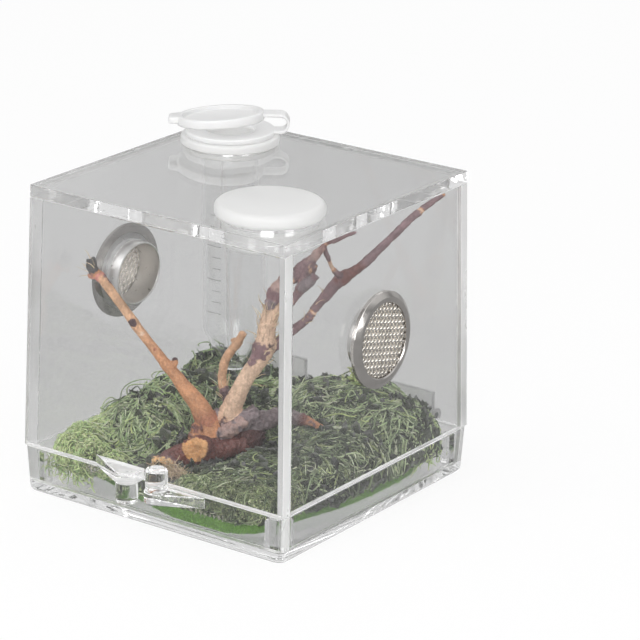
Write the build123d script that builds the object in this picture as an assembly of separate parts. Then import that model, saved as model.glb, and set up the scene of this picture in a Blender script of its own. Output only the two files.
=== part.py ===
from build123d import *
import math
import os

# Spider terrarium: a clear box in two halves, hinged along the back.
# Millimetres, +Z up. The origin is the centre of the underside.
# -Y is the front with the opening pegs, +Y the hinge side, +X and -X the vent walls.

# Box
box_width = 80.0
box_depth = 80.0
box_height = 80.0
tray_height = 12.2
wall = 3.0
top_thickness = 3.0
floor_thickness = 3.0
cover_lean = 1.45
tray_lean = 0.6
rim_gap = 0.15
cover_corner_round = 0.6
tray_corner_round = 2.0
tray_bottom_round = 1.3

# Posts in the tray's inner corners
post_radius = 3.4
post_below_rim = 1.6
post_chamfer = 0.8

# Opening tabs and pegs
tab_length = 15.4
tab_thickness = 3.0
tab_side_gap = 1.6
peg_radius = 2.8
peg_length = 5.6
peg_spread = 4.6
peg_stand_off = 3.2
peg_edge_round = 0.5
tab_margin = 0.3

# Hinges
hinge_spread = 20.0
hinge_width = 16.0
leaf_thickness = 1.2
tray_leaf_height = 5.0
cover_leaf_height = 6.6
knuckle_radius = 1.9
knuckle_stand_off = 0.3
knuckle_side_gap = 0.3
knuckle_notch_gap = 0.25
middle_knuckle = 5.4
pin_radius = 0.8
pin_clearance = 0.04
leaf_rim_gap = 0.1

# Vents
right_vent_height = 46.5
left_vent_height = 48.5
bezel_radius = 12.2
bezel_thickness = 1.8
bezel_window = 9.4
bezel_bevel = 0.9
mesh_radius = 9.8
mesh_thickness = 0.3
mesh_pitch = 1.45
mesh_hole = 0.95
sleeve_bore = 7.65
sleeve_wall = 0.55
sleeve_flange = 9.8
sleeve_flange_thickness = 0.5
sleeve_projection = 2.5
vent_clearance = 0.1

# Ports in the top
plug_port_radius = 12.0
plug_side_inset = 18.0
plug_front_inset = 18.0
tube_port_radius = 10.5
tube_side_inset = 17.0
tube_back_inset = 18.0

# Silicone plug
plug_head_radius = 13.4
plug_head_thickness = 4.0
plug_edge_round = 1.7
plug_depth = 6.0
plug_taper = 0.4
port_clearance = 0.1

# Grommet
grommet_flange_radius = 12.6
grommet_flange_thickness = 2.2
grommet_edge_round = 0.7
grommet_lip_radius = 11.6
grommet_lip_thickness = 1.2
grommet_clearance = 0.05

# Feeding tube
tube_radius = 7.3
tube_wall = 0.9
tube_straight_bottom = 30.0
tube_tip_height = 19.0
tube_tip_radius = 2.4
tube_clearance = 0.05
collar_radius = 11.5
collar_thickness = 1.4

# Flip cap and its strap
cap_radius = 11.2
cap_thickness = 2.4
cap_dish_radius = 9.7
cap_dish_depth = 1.1
cap_shift = 2.4
cap_gap = 1.6
cap_tilt_along = 4.4
cap_tilt_across = 5.0
cap_lip_reach = 2.0
cap_lip_width = 7.0
cap_lip_round = 1.2
cap_lip_drop = 0.8
spigot_radius = 5.8
spigot_wall = 0.8
spigot_depth = 0.7
strap_direction = 35.2
strap_reach = 15.2
strap_width = 5.0
strap_thickness = 0.8
strap_root = 1.2
strap_fold_radius = 2.6
strap_knuckle_radius = 0.65
strap_knuckle_clearance = 0.08

# Moss and mat
mat_thickness = 3.0
mat_wall_gap = 0.8
moss_base_height = 4.5
moss_wall_gap = 0.7
moss_front_gap = 1.6
moss_tube_gap = 2.0

# Room that the branch and moss are drawn for; they are cut to fit the box that holds them
layout_width = 74.0
layout_depth = 74.0
layout_height = 74.0

# Values that follow from the sizes above
half_width = box_width / 2
half_depth = box_depth / 2
cover_base = tray_height + rim_gap
cover_rise = box_height - cover_base
hinge_y = half_depth + knuckle_stand_off + knuckle_radius
hinge_z = tray_height
floor_top = floor_thickness
moss_level = floor_top + mat_thickness
top_underside = box_height - top_thickness
plug_x = half_width - plug_side_inset
plug_y = plug_front_inset - half_depth
tube_x = tube_side_inset - half_width
tube_y = half_depth - tube_back_inset
layout_x = (box_width - 2 * wall) / layout_width
layout_y = (box_depth - 2 * wall) / layout_depth
layout_z = (top_underside - floor_top) / layout_height
cover_lean_angle = math.degrees(math.atan2(cover_lean, cover_rise))
far = 2 * (box_width + box_depth + box_height)


def box_between(low, high):
    """Block between two opposite corners."""
    size = [b - a for a, b in zip(low, high)]
    middle = [(a + b) / 2 for a, b in zip(low, high)]
    return Pos(*middle) * Box(*size)


def cylinder_between(x, y, low, high, radius):
    """Upright cylinder from one height to another."""
    return Pos(x, y, (low + high) / 2) * Cylinder(radius, high - low)


def leaning_block(low_half, high_half, low, high, direction):
    """Prism whose two sides lean, endless across them."""
    points = [(-low_half, low), (low_half, low), (high_half, high), (-high_half, high)]
    if direction == "x":
        face = Plane.XZ * make_face(Polyline(*points, close=True))
    else:
        face = Plane.YZ * make_face(Polyline(*points, close=True))
    return extrude(face, amount=far, both=True)


def hull(low_x, low_y, high_x, high_y, low, high):
    """Block whose four sides lean."""
    slab = leaning_block(low_x, high_x, low, high, "x")
    return slab & leaning_block(low_y, high_y, low, high, "y")


def vertical_edges(shape):
    """Edges that run from the bottom of a hull to its top."""
    return [e for e in shape.edges() if abs(e.tangent_at(0.5).Z) > 0.9]


def save(shape, name):
    export_step(shape, "parts/" + name + ".step")


def group(shapes):
    """Separate solids in one node."""
    return Compound(children=[solid for shape in shapes for solid in shape.solids()])


# Tray

def make_tray_hull():
    shape = hull(
        half_width - tray_lean, half_depth - tray_lean, half_width, half_depth, 0, tray_height
    )
    shape = fillet(vertical_edges(shape), tray_corner_round)
    bottom = shape.edges().group_by(Axis.Z)[0]
    return fillet(bottom, tray_bottom_round)


def tray_inside(direction, low, high):
    """Space between two opposite tray walls."""
    half = half_width if direction == "x" else half_depth
    slope = tray_lean / tray_height
    return leaning_block(
        half - wall - slope * (tray_height - low),
        half - wall - slope * (tray_height - high),
        low,
        high,
        direction,
    )


def make_tray():
    body = make_tray_hull()
    floor = body & box_between((-far, -far, -far), (far, far, floor_top))
    ring = body & box_between((-far, -far, floor_top), (far, far, far))
    between_front_back = tray_inside("y", floor_top, tray_height)
    ends = ring - between_front_back
    sides = (ring & between_front_back) - tray_inside("x", floor_top, tray_height)
    front, back = ends.solids().sort_by(Axis.Y)
    left, right = sides.solids().sort_by(Axis.X)
    save(floor, "tray_floor")
    save(front, "tray_front_wall")
    save(back, "tray_back_wall")
    save(left, "tray_left_wall")
    save(right, "tray_right_wall")
    return body


def make_corner_posts():
    high = tray_height - post_below_rim
    inside = tray_inside("x", floor_top, high) & tray_inside("y", floor_top, high)
    posts = []
    for sx in (-1, 1):
        for sy in (-1, 1):
            x = sx * (half_width - wall)
            y = sy * (half_depth - wall)
            rod = cylinder_between(x, y, floor_top, high, post_radius)
            rod = chamfer(rod.edges().group_by(Axis.Z)[-1], post_chamfer)
            posts.append(rod & inside)
    return group(posts)


# Tabs and pegs

def tab_outline(side):
    """Triangle on the front wall with a round tip about the peg."""
    tip_x = side * peg_spread
    tip_y = -half_depth - peg_stand_off
    tip_radius = peg_radius + tab_margin
    root = wall / 2
    base_y = -half_depth + root
    near_x = side * tab_side_gap
    far_x = side * (tab_side_gap + tab_length)
    base = make_face(
        Polyline((near_x, base_y), (far_x, base_y), (far_x, -half_depth), (tip_x, tip_y), (near_x, tip_y),
                 close=True)
    )
    disc = Pos(tip_x, tip_y) * Circle(tip_radius)
    reach = math.hypot(far_x - tip_x, half_depth + tip_y)
    lean = math.atan2(-half_depth - tip_y, side * (far_x - tip_x))
    swing = math.acos(tip_radius / reach)
    angle = lean - swing
    touch = (tip_x + side * tip_radius * math.cos(angle), tip_y + tip_radius * math.sin(angle))
    flank = make_face(Polyline((far_x, -half_depth), touch, (tip_x, tip_y), close=True))
    return base + disc + flank


def make_tab(side, low, body):
    plate = extrude(Pos(0, 0, low) * tab_outline(side), amount=tab_thickness)
    return plate - body


def make_peg(side, seat, direction):
    high = max(seat, seat + direction * peg_length)
    low = min(seat, seat + direction * peg_length)
    peg = cylinder_between(side * peg_spread, -half_depth - peg_stand_off, low, high, peg_radius)
    end = peg.edges().sort_by(Axis.Z)[-1 if direction > 0 else 0]
    return fillet(end, peg_edge_round)


# Cover

def make_cover_hull():
    shape = hull(
        half_width, half_depth, half_width - cover_lean, half_depth - cover_lean, cover_base, box_height
    )
    return fillet(vertical_edges(shape), cover_corner_round)


def cover_inside(direction):
    """Space between two opposite cover walls, up to the top sheet."""
    half = half_width if direction == "x" else half_depth
    lean = cover_lean * (top_underside - cover_base) / cover_rise
    return leaning_block(half - wall, half - wall - lean, cover_base, top_underside, direction)


def wall_face_x(height):
    """Outer face of the side walls at a height."""
    return half_width - cover_lean * (height - cover_base) / cover_rise


def vent_place(side, height):
    """Seat of a vent: its own +X points out of the wall."""
    turn = 0 if side > 0 else 180
    return Pos(side * wall_face_x(height), 0, height) * Rot(0, 0, turn) * Rot(0, -cover_lean_angle, 0)


def disc_x(radius, low, high):
    """Cylinder along the vent's own axis."""
    return Pos((low + high) / 2, 0, 0) * Rot(0, 90, 0) * Cylinder(radius, high - low)


def make_cover(body):
    lid = body & box_between((-far, -far, top_underside), (far, far, far))
    ring = body & box_between((-far, -far, -far), (far, far, top_underside))
    between_front_back = cover_inside("y")
    ends = ring - between_front_back
    sides = (ring & between_front_back) - cover_inside("x")
    front, back = ends.solids().sort_by(Axis.Y)
    left, right = sides.solids().sort_by(Axis.X)
    lid -= cylinder_between(plug_x, plug_y, top_underside, box_height, plug_port_radius)
    lid -= cylinder_between(tube_x, tube_y, top_underside, box_height, tube_port_radius)
    sleeve_hole = disc_x(sleeve_bore + sleeve_wall + vent_clearance, -2 * wall, wall)
    left -= vent_place(-1, left_vent_height) * sleeve_hole
    right -= vent_place(1, right_vent_height) * sleeve_hole
    save(lid, "cover_top")
    save(front, "cover_front_wall")
    save(back, "cover_back_wall")
    save(left, "cover_left_wall")
    save(right, "cover_right_wall")


# Vents

def make_sleeve():
    tube = disc_x(sleeve_bore + sleeve_wall, -wall - sleeve_projection, 0)
    flange = disc_x(sleeve_flange, 0, sleeve_flange_thickness)
    bore = disc_x(sleeve_bore, -2 * wall - sleeve_projection, wall)
    return tube + flange - bore


def make_mesh():
    low = sleeve_flange_thickness
    disc = disc_x(mesh_radius, low, low + mesh_thickness)
    reach = bezel_window - mesh_hole
    steps = int(reach / mesh_pitch)
    holes = []
    for i in range(-steps, steps + 1):
        for j in range(-steps, steps + 1):
            y = i * mesh_pitch
            z = j * mesh_pitch
            if math.hypot(y, z) <= reach:
                cut = Pos(low, y, z) * Box(wall, mesh_hole, mesh_hole)
                holes.append(cut)
    return disc - holes


def make_bezel():
    ring = disc_x(bezel_radius, 0, bezel_thickness)
    ring = chamfer(ring.edges().sort_by(Axis.X)[-1], bezel_bevel)
    pocket = disc_x(mesh_radius + vent_clearance, 0, sleeve_flange_thickness + mesh_thickness)
    return ring - pocket - disc_x(bezel_window, 0, wall)


def make_vents():
    sides = (("right", 1, right_vent_height), ("left", -1, left_vent_height))
    for name, side, height in sides:
        place = vent_place(side, height)
        save(place * make_sleeve(), name + "_vent_sleeve")
        save(place * make_mesh(), name + "_vent_mesh")
        save(place * make_bezel(), name + "_vent_bezel")


# Hinges

def rod_x(x_low, x_high, y, z, radius):
    """Cylinder along the hinge line."""
    return Pos((x_low + x_high) / 2, y, z) * Rot(0, 90, 0) * Cylinder(radius, x_high - x_low)


def outer_knuckle_spans(x):
    half = hinge_width / 2
    inner = middle_knuckle / 2 + knuckle_side_gap
    return [(x - half, x - inner), (x + inner, x + half)]


def middle_knuckle_span(x):
    return [(x - middle_knuckle / 2, x + middle_knuckle / 2)]


def make_leaf(x, own_spans, other_spans, low, high, body):
    """Flat leaf on the back wall with its knuckles, cut clear of the other leaf's."""
    half = hinge_width / 2
    root = wall / 2
    leaf = box_between((x - half, half_depth - root, low), (x + half, half_depth + leaf_thickness, high))
    for start, end in own_spans:
        leaf += rod_x(start, end, hinge_y, hinge_z, knuckle_radius)
        web_low = min(max(low, hinge_z - knuckle_radius), hinge_z)
        web_high = max(min(high, hinge_z + knuckle_radius), hinge_z)
        leaf += box_between((start, half_depth, web_low), (end, hinge_y, web_high))
    for start, end in other_spans:
        leaf -= rod_x(
            start - knuckle_side_gap,
            end + knuckle_side_gap,
            hinge_y,
            hinge_z,
            knuckle_radius + knuckle_notch_gap,
        )
    leaf -= rod_x(x - hinge_width, x + hinge_width, hinge_y, hinge_z, pin_radius + pin_clearance)
    return leaf - body


def make_hinges(tray_body, cover_body):
    tray_leaves = []
    cover_leaves = []
    pins = []
    for side in (-1, 1):
        x = side * hinge_spread
        outer = outer_knuckle_spans(x)
        middle = middle_knuckle_span(x)
        low = tray_height - tray_leaf_height
        tray_leaves.append(make_leaf(x, outer, middle, low, tray_height - leaf_rim_gap, tray_body))
        high = cover_base + cover_leaf_height
        cover_leaves.append(make_leaf(x, middle, outer, cover_base + leaf_rim_gap, high, cover_body))
        pins.append(rod_x(x - hinge_width / 2, x + hinge_width / 2, hinge_y, hinge_z, pin_radius))
    save(group(tray_leaves), "tray_hinge_leaves")
    save(group(cover_leaves), "cover_hinge_leaves")
    save(group(pins), "hinge_pins")


# Plug, grommet, tube and cap

def make_plug():
    head = cylinder_between(0, 0, box_height, box_height + plug_head_thickness, plug_head_radius)
    head = fillet(head.edges(), plug_edge_round)
    radius = plug_port_radius - port_clearance
    stem = Pos(0, 0, box_height - plug_depth / 2) * Cone(radius - plug_taper, radius, plug_depth)
    return Pos(plug_x, plug_y, 0) * (head + stem)


def make_grommet():
    top = box_height + grommet_flange_thickness
    flange = cylinder_between(0, 0, box_height, top, grommet_flange_radius)
    flange = fillet(flange.edges().sort_by(Axis.Z)[-1], grommet_edge_round)
    barrel = cylinder_between(
        0, 0, top_underside, box_height, tube_port_radius - grommet_clearance
    )
    lip_low = top_underside - grommet_lip_thickness
    lip = cylinder_between(0, 0, lip_low, top_underside, grommet_lip_radius)
    bore = cylinder_between(0, 0, lip_low - wall, top + wall, tube_radius + tube_clearance)
    return Pos(tube_x, tube_y, 0) * (flange + barrel + lip - bore)


collar_low = box_height + grommet_flange_thickness
collar_high = collar_low + collar_thickness
strap_low = collar_high - strap_thickness
strap_fold_z = strap_low + strap_fold_radius
strap_axis_x = strap_reach - strap_thickness / 2
cap_base = collar_high + cap_gap


def strap_fold():
    """U-shaped band, its fold at the far end."""
    centre_x = strap_reach - strap_fold_radius
    outer = Pos(centre_x, strap_fold_z) * Circle(strap_fold_radius)
    inner = Pos(centre_x, strap_fold_z) * Circle(strap_fold_radius - strap_thickness)
    arc = (outer - inner) & (
        Pos(centre_x + strap_reach / 2, strap_fold_z) * Rectangle(strap_reach, 2 * strap_reach)
    )
    band = extrude(Plane.XZ * arc, amount=strap_width / 2, both=True)
    return band, centre_x


def strap_run(x_low, x_high, z_low):
    half = strap_width / 2
    return box_between((x_low, -half, z_low), (x_high, half, z_low + strap_thickness))


def strap_knuckle(radius):
    rod = Rot(90, 0, 0) * Cylinder(radius, strap_width)
    return Pos(strap_axis_x, 0, strap_fold_z) * rod


def tube_place():
    return Pos(tube_x, tube_y, 0) * Rot(0, 0, strap_direction)


def make_tube():
    half_profile = [
        (0, tube_tip_height),
        (tube_tip_radius, tube_tip_height),
        (tube_radius, tube_straight_bottom),
        (tube_radius, collar_low),
        (collar_radius, collar_low),
        (collar_radius, collar_high),
        (tube_radius - tube_wall, collar_high),
        (tube_radius - tube_wall, tube_straight_bottom),
        (tube_tip_radius - tube_wall / 2, tube_tip_height + tube_wall),
        (0, tube_tip_height + tube_wall),
    ]
    body = revolve(Plane.XZ * make_face(Polyline(*half_profile, close=True)), Axis.Z)
    band, centre_x = strap_fold()
    half_space = box_between((-far, -far, -far), (far, far, strap_fold_z))
    run = strap_run(collar_radius - strap_root, centre_x, strap_low)
    strap = (band & half_space) + run + strap_knuckle(strap_knuckle_radius)
    return tube_place() * (body + strap)


def make_cap():
    disc = cylinder_between(-cap_shift, 0, cap_base, cap_base + cap_thickness, cap_radius)
    lip_x = -cap_shift - cap_radius
    lip = box_between(
        (lip_x - cap_lip_reach, -cap_lip_width / 2, cap_base + cap_lip_drop),
        (lip_x + cap_lip_reach, cap_lip_width / 2, cap_base + cap_thickness),
    )
    lip = fillet(vertical_edges(lip), cap_lip_round)
    dish_low = cap_base + cap_thickness - cap_dish_depth
    dish = cylinder_between(-cap_shift, 0, dish_low, box_height + far, cap_dish_radius)
    spigot = cylinder_between(-cap_shift, 0, cap_base - spigot_depth, cap_base, spigot_radius)
    spigot -= cylinder_between(
        -cap_shift, 0, cap_base - spigot_depth, cap_base, spigot_radius - spigot_wall
    )
    shape = disc + lip - dish + spigot
    pivot = Pos(-cap_shift, 0, cap_base)
    shape = pivot * Rot(-cap_tilt_across, -cap_tilt_along, 0) * Pos(cap_shift, 0, -cap_base) * shape
    band, centre_x = strap_fold()
    half_space = box_between((-far, -far, strap_fold_z), (far, far, far))
    upper_low = strap_fold_z + strap_fold_radius - strap_thickness
    run = strap_run(cap_radius - cap_shift - strap_root, centre_x, upper_low)
    strap = (band & half_space) + run
    strap -= strap_knuckle(strap_knuckle_radius + strap_knuckle_clearance)
    return tube_place() * (shape + strap)


# Branch

def limb(points):
    """Tapering limb through points with their radii."""
    places = [
        Vector(x * layout_x, y * layout_y, floor_top + (z - floor_top) * layout_z) for x, y, z, r in points
    ]
    sections = []
    for i, here in enumerate(places):
        before = places[max(i - 1, 0)]
        after = places[min(i + 1, len(places) - 1)]
        frame = Plane(origin=here, x_dir=(0, 1, 0), z_dir=(after - before).normalized())
        sections.append(frame * Circle(points[i][3]))
    return loft(sections, ruled=True)


left_limb = [
    (-4.2, -9.8, 12.0, 3.3),
    (-5.6, -10.5, 19.5, 2.6),
    (-10.7, -12.7, 27.4, 1.75),
    (-14.8, -14.1, 32.6, 1.3),
    (-21.7, -16.8, 41.8, 1.15),
    (-27.4, -18.9, 50.2, 1.15),
    (-31.3, -20.2, 54.6, 1.2),
    (-32.6, -20.7, 56.8, 1.05),
]
main_limb = [
    (-2.6, -7.6, 12.0, 3.2),
    (-1.8, -6.4, 19.5, 2.6),
    (1.1, -5.2, 27.8, 1.95),
    (4.2, -1.8, 36.8, 2.1),
    (5.4, -0.9, 46.0, 1.95),
    (7.8, 0.4, 53.6, 1.75),
    (12.0, 2.5, 58.2, 1.3),
    (15.2, 3.8, 62.0, 1.0),
    (17.0, 5.1, 65.0, 0.8),
    (21.8, 7.6, 68.6, 0.4),
]
right_limb = [
    (3.8, -1.9, 35.2, 1.5),
    (6.6, 3.6, 39.6, 1.1),
    (9.9, 9.0, 43.5, 0.9),
    (11.9, 12.0, 48.1, 1.0),
    (15.9, 15.3, 53.4, 1.15),
    (20.7, 20.3, 58.6, 0.9),
    (27.9, 27.2, 68.6, 0.8),
    (30.8, 29.5, 72.0, 0.7),
    (34.2, 32.4, 75.0, 0.45),
]
cross_twig = [
    (16.0, 15.1, 53.6, 0.8),
    (15.4, 11.4, 57.0, 0.55),
    (16.2, 8.0, 61.2, 0.5),
    (16.9, 5.3, 64.6, 0.45),
]
back_stub = [
    (-1.2, -5.4, 16.8, 1.4),
    (-3.6, -3.2, 19.4, 1.2),
    (-8.7, -0.1, 24.0, 1.0),
    (-9.4, 1.2, 29.6, 1.1),
    (-7.2, 2.1, 34.0, 1.05),
    (-4.9, 2.5, 38.2, 0.95),
]
ground_root = [
    (-1.0, -3.0, 14.6, 2.6),
    (2.2, 5.4, 16.4, 1.9),
    (5.4, 9.0, 16.0, 1.5),
    (9.4, 10.2, 15.2, 1.2),
    (15.4, 10.4, 14.4, 0.6),
]
root_foot = [
    (-8.4, -25.4, 9.6, 2.3),
    (-6.6, -19.0, 10.2, 3.0),
    (-4.2, -11.0, 11.2, 4.2),
    (-1.2, -3.6, 12.2, 3.8),
    (0.6, 1.6, 12.6, 2.6),
]
cut_stub = [
    (-4.0, -10.0, 11.6, 2.9),
    (-3.4, -16.6, 13.2, 2.5),
]


def make_branch():
    shape = limb(root_foot)
    for points in (left_limb, main_limb, right_limb, cross_twig, back_stub, ground_root, cut_stub):
        shape += limb(points)
    return shape


# Mat and moss

mat_points = [
    (-36.0, -20.0),
    (-18.0, -28.8),
    (-6.0, -32.6),
    (6.0, -36.0),
    (20.0, -35.8),
    (27.4, -30.6),
    (28.6, -21.0),
    (32.6, -4.0),
    (33.6, 11.0),
    (32.0, 26.0),
    (22.0, 34.4),
    (0.0, 35.8),
    (-24.0, 35.2),
    (-34.4, 27.0),
    (-36.2, 4.0),
]


def mat_face():
    points = [(x * layout_x, y * layout_y) for x, y in mat_points]
    return make_face(Spline(*points, periodic=True))


def make_mat():
    shape = extrude(Pos(0, 0, floor_top) * mat_face(), amount=mat_thickness)
    half_x = half_width - wall - tray_lean - mat_wall_gap
    half_y = half_depth - wall - tray_lean - mat_wall_gap
    return shape & box_between((-half_x, -half_y, floor_top), (half_x, half_y, moss_level))


# Plan place, height of the middle over the mat, and radius
moss_mounds = [
    (-26.0, -8.0, 3.0, 10.5),
    (-25.0, 7.0, 2.5, 12.5),
    (-33.0, 26.0, 5.0, 9.5),
    (-22.0, 27.0, 1.5, 10.5),
    (-10.0, 28.0, 0.0, 11.0),
    (-9.0, 12.0, 1.0, 11.0),
    (5.0, 27.0, 2.0, 13.0),
    (15.0, 28.0, 3.5, 13.0),
    (12.0, 10.0, 0.0, 9.0),
    (25.0, 25.0, 2.0, 13.0),
    (25.0, 4.0, 2.0, 11.0),
    (24.0, -10.0, 1.0, 10.5),
    (14.0, -13.0, 0.0, 9.5),
    (12.0, -23.0, 0.0, 8.5),
    (21.0, -25.0, 1.0, 9.0),
    (-15.0, -13.0, 0.0, 8.5),
    (-34.0, 10.0, 1.0, 8.5),
]
corner_tufts = [
    (-32.0, -17.0, 4.0, 5.0),
    (-32.0, -24.5, 4.5, 5.2),
    (-30.5, -30.0, 4.5, 5.0),
    (-25.0, -30.5, 3.8, 5.0),
    (-18.5, -31.0, 3.0, 4.4),
]
front_tufts = [
    (7.0, -31.8, 3.6, 3.8),
    (12.5, -32.0, 4.0, 4.4),
    (18.5, -31.5, 4.0, 4.6),
    (24.5, -30.5, 4.2, 4.8),
    (28.0, -25.0, 3.2, 4.2),
]


def contents_space(front_gap):
    """Space inside the walls that moss may fill."""
    half_x = half_width - wall - tray_lean - moss_wall_gap
    front = -half_depth + wall + tray_lean + front_gap
    back = half_depth - wall - tray_lean - moss_wall_gap
    return box_between((-half_x, front, moss_level), (half_x, back, top_underside))


def make_moss(branch, posts):
    shape = extrude(Pos(0, 0, moss_level) * mat_face(), amount=moss_base_height)
    for x, y, z, radius in moss_mounds:
        shape += Pos(x * layout_x, y * layout_y, moss_level + z) * Sphere(radius)
    shape = shape & contents_space(moss_front_gap)
    pit = cylinder_between(
        tube_x, tube_y, tube_tip_height - moss_tube_gap, box_height, tube_radius + moss_tube_gap
    )
    shape = shape - pit - branch - posts
    return shape.solids().sort_by(SortBy.VOLUME)[-1]


def make_tufts(moss, branch):
    """Two rows of fluffy clumps, in the left front corner and along the front wall."""
    space = contents_space(moss_wall_gap)
    rows = []
    for balls in (corner_tufts, front_tufts):
        shapes = [
            Pos(x * layout_x, y * layout_y, moss_level + z) * Sphere(radius) for x, y, z, radius in balls
        ]
        row = (shapes[0] + shapes[1:]) & space
        row = row - moss - branch
        rows.append(row.solids().sort_by(SortBy.VOLUME)[-1])
    return group(rows)


os.makedirs("parts", exist_ok=True)
tray_body = make_tray()
cover_body = make_cover_hull()
make_cover(cover_body)
post_shapes = make_corner_posts()
save(post_shapes, "corner_posts")
save(make_tab(1, tray_height - tab_thickness, tray_body), "tray_tab")
save(make_peg(1, tray_height, 1), "tray_peg")
save(make_tab(-1, cover_base, cover_body), "cover_tab")
save(make_peg(-1, cover_base, -1), "cover_peg")
make_hinges(tray_body, cover_body)
make_vents()
save(make_plug(), "silicone_plug")
save(make_grommet(), "tube_grommet")
save(make_tube(), "feeding_tube")
save(make_cap(), "tube_cap")
branch_shape = make_branch()
moss_shape = make_moss(branch_shape, post_shapes)
save(make_mat(), "moss_mat")
save(branch_shape, "branch")
save(moss_shape, "moss_bed")
save(make_tufts(moss_shape, branch_shape), "moss_tufts")
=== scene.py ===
from math import acos, atan, atan2, cos, exp, pi, radians, sin, sqrt, tan

import bmesh
import bpy
import numpy as np
from mathutils import Matrix, Vector, noise
from mathutils.bvhtree import BVHTree
from numpy.linalg import norm


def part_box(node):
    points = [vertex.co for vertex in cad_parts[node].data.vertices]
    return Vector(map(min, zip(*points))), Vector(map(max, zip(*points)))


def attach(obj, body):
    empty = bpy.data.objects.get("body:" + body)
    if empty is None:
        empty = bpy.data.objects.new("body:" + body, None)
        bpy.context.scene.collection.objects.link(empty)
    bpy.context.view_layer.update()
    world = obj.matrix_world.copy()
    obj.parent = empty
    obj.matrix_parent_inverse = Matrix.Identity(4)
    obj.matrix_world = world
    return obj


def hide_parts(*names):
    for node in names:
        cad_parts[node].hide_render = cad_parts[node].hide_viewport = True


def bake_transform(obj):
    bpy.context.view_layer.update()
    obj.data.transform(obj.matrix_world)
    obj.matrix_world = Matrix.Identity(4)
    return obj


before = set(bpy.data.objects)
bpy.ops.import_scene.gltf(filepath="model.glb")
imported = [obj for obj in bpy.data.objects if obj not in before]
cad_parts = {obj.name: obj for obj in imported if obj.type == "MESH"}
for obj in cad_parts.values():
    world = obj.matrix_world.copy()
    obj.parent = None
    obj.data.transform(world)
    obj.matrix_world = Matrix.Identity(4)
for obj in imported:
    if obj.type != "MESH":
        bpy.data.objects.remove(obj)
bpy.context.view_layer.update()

# Lengths are in metres. Millimetre values are written with MM.
MM = 0.001
TURN = 2 * pi
QUARTER = pi / 2

# Sizes read from the frame
half, rim_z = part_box("tray_front_wall")[1].xz
floor_half, floor_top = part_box("tray_floor")[1].xz
tray_slope = (half - floor_half) / (rim_z - floor_top)
cover_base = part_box("cover_front_wall")[0].z
lid_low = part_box("cover_top")[0].z
lid_half, lid_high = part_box("cover_top")[1].xz
cover_slope = (half - lid_half) / (lid_low - cover_base)
# Heights in millimetres, for what grows on the floor
felt_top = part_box("moss_mat")[1].z / MM + 0.1
ground = floor_top / MM


def middle_of(name):
    low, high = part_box(name)
    return (low + high) / 2


plug_at = middle_of("silicone_plug")
grommet_at = middle_of("tube_grommet")

# Sizes of the sheets
sheet = 3.0 * MM
joint_gap = 0.02 * MM
cover_corner = 0.6 * MM
tray_corner = 2.0 * MM
tray_bottom = 1.3 * MM
polish = 0.22 * MM

rng = np.random.default_rng(7)
uniform = rng.uniform
gauss = rng.normal
hill = noise.noise
moved = Matrix.Translation


def turned(angle, axis):
    return Matrix.Rotation(angle, 4, axis)


# Shader helpers

def begin(name, scale=(1, 1, 1)):
    """Empty material and its object coordinates."""
    mat = bpy.data.materials.new(name)
    mat.use_nodes = True
    mat.node_tree.nodes.clear()
    return mat, node(mat, "Mapping", Vector=node(mat, "TexCoord", get="Object"), Scale=scale)


def node(mat, kind, settings=None, get=0, **inputs):
    """New shader node, as one of its outputs. Inputs go by name, or by number as at2."""
    made = mat.node_tree.nodes.new("ShaderNode" + kind)
    for key, value in (settings or {}).items():
        setattr(made, key, value)
    for key, value in inputs.items():
        numbered = key.startswith("at") and key[2:].isdigit()
        socket = made.inputs[int(key[2:]) if numbered else key.replace("_", " ")]
        if isinstance(value, bpy.types.NodeSocket):
            mat.node_tree.links.new(value, socket)
        else:
            socket.default_value = value
    return None if get is None else made.outputs[get]


def calc(mat, operation, *values, **settings):
    """Math node on sockets and numbers."""
    settings["operation"] = operation
    return node(mat, "Math", settings, **{"at" + str(k): value for k, value in enumerate(values)})


def finish_material(mat, shader):
    node(mat, "OutputMaterial", get=None, Surface=shader)
    return mat


def grain_of(mat, where, scale, detail=4.0):
    return node(mat, "TexNoise", get="Fac", Vector=where, Scale=scale, Detail=detail, Roughness=0.55)


def ramp(mat, value, low, high, from_low=0.3, from_high=0.7):
    """A value between two limits, set by a factor."""
    return node(mat, "MapRange", Value=value, From_Min=from_low, From_Max=from_high, To_Min=low, To_Max=high)


def blend_colours(mat, factor, first, second):
    return node(mat, "Mix", {"data_type": "RGBA"}, 2, at0=factor, at6=first, at7=second)


def bump(mat, height, strength, distance):
    return node(mat, "Bump", Height=height, Strength=strength, Distance=distance)


def kept_shade(mat, light):
    """Colour kept on the mesh, made lighter and darker by a factor."""
    kept = node(mat, "VertexColor", {"layer_name": "shade"}, "Color")
    return node(mat, "VectorMath", {"operation": "SCALE"}, at0=kept, Scale=light)


# Mesh helpers

def add_object(name, data):
    made = bpy.data.objects.new(name, data)
    bpy.context.scene.collection.objects.link(made)
    return made


def shade(obj, angle=12):
    obj.data.polygons.foreach_set("use_smooth", [True] * len(obj.data.polygons))
    obj.data.set_sharp_from_angle(angle=radians(angle))
    return obj


def make_mesh(name, points, faces):
    mesh = bpy.data.meshes.new(name)
    mesh.from_pydata(points, [], faces)
    mesh.polygons.foreach_set("use_smooth", [True] * len(mesh.polygons))
    return add_object(name, mesh)


def rows_of(items, key, kind=np.float32):
    """Three numbers of each vertex or triangle, as an array."""
    rows = np.zeros(len(items) * 3, kind)
    items.foreach_get(key, rows)
    return rows.reshape(-1, 3)


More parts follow.
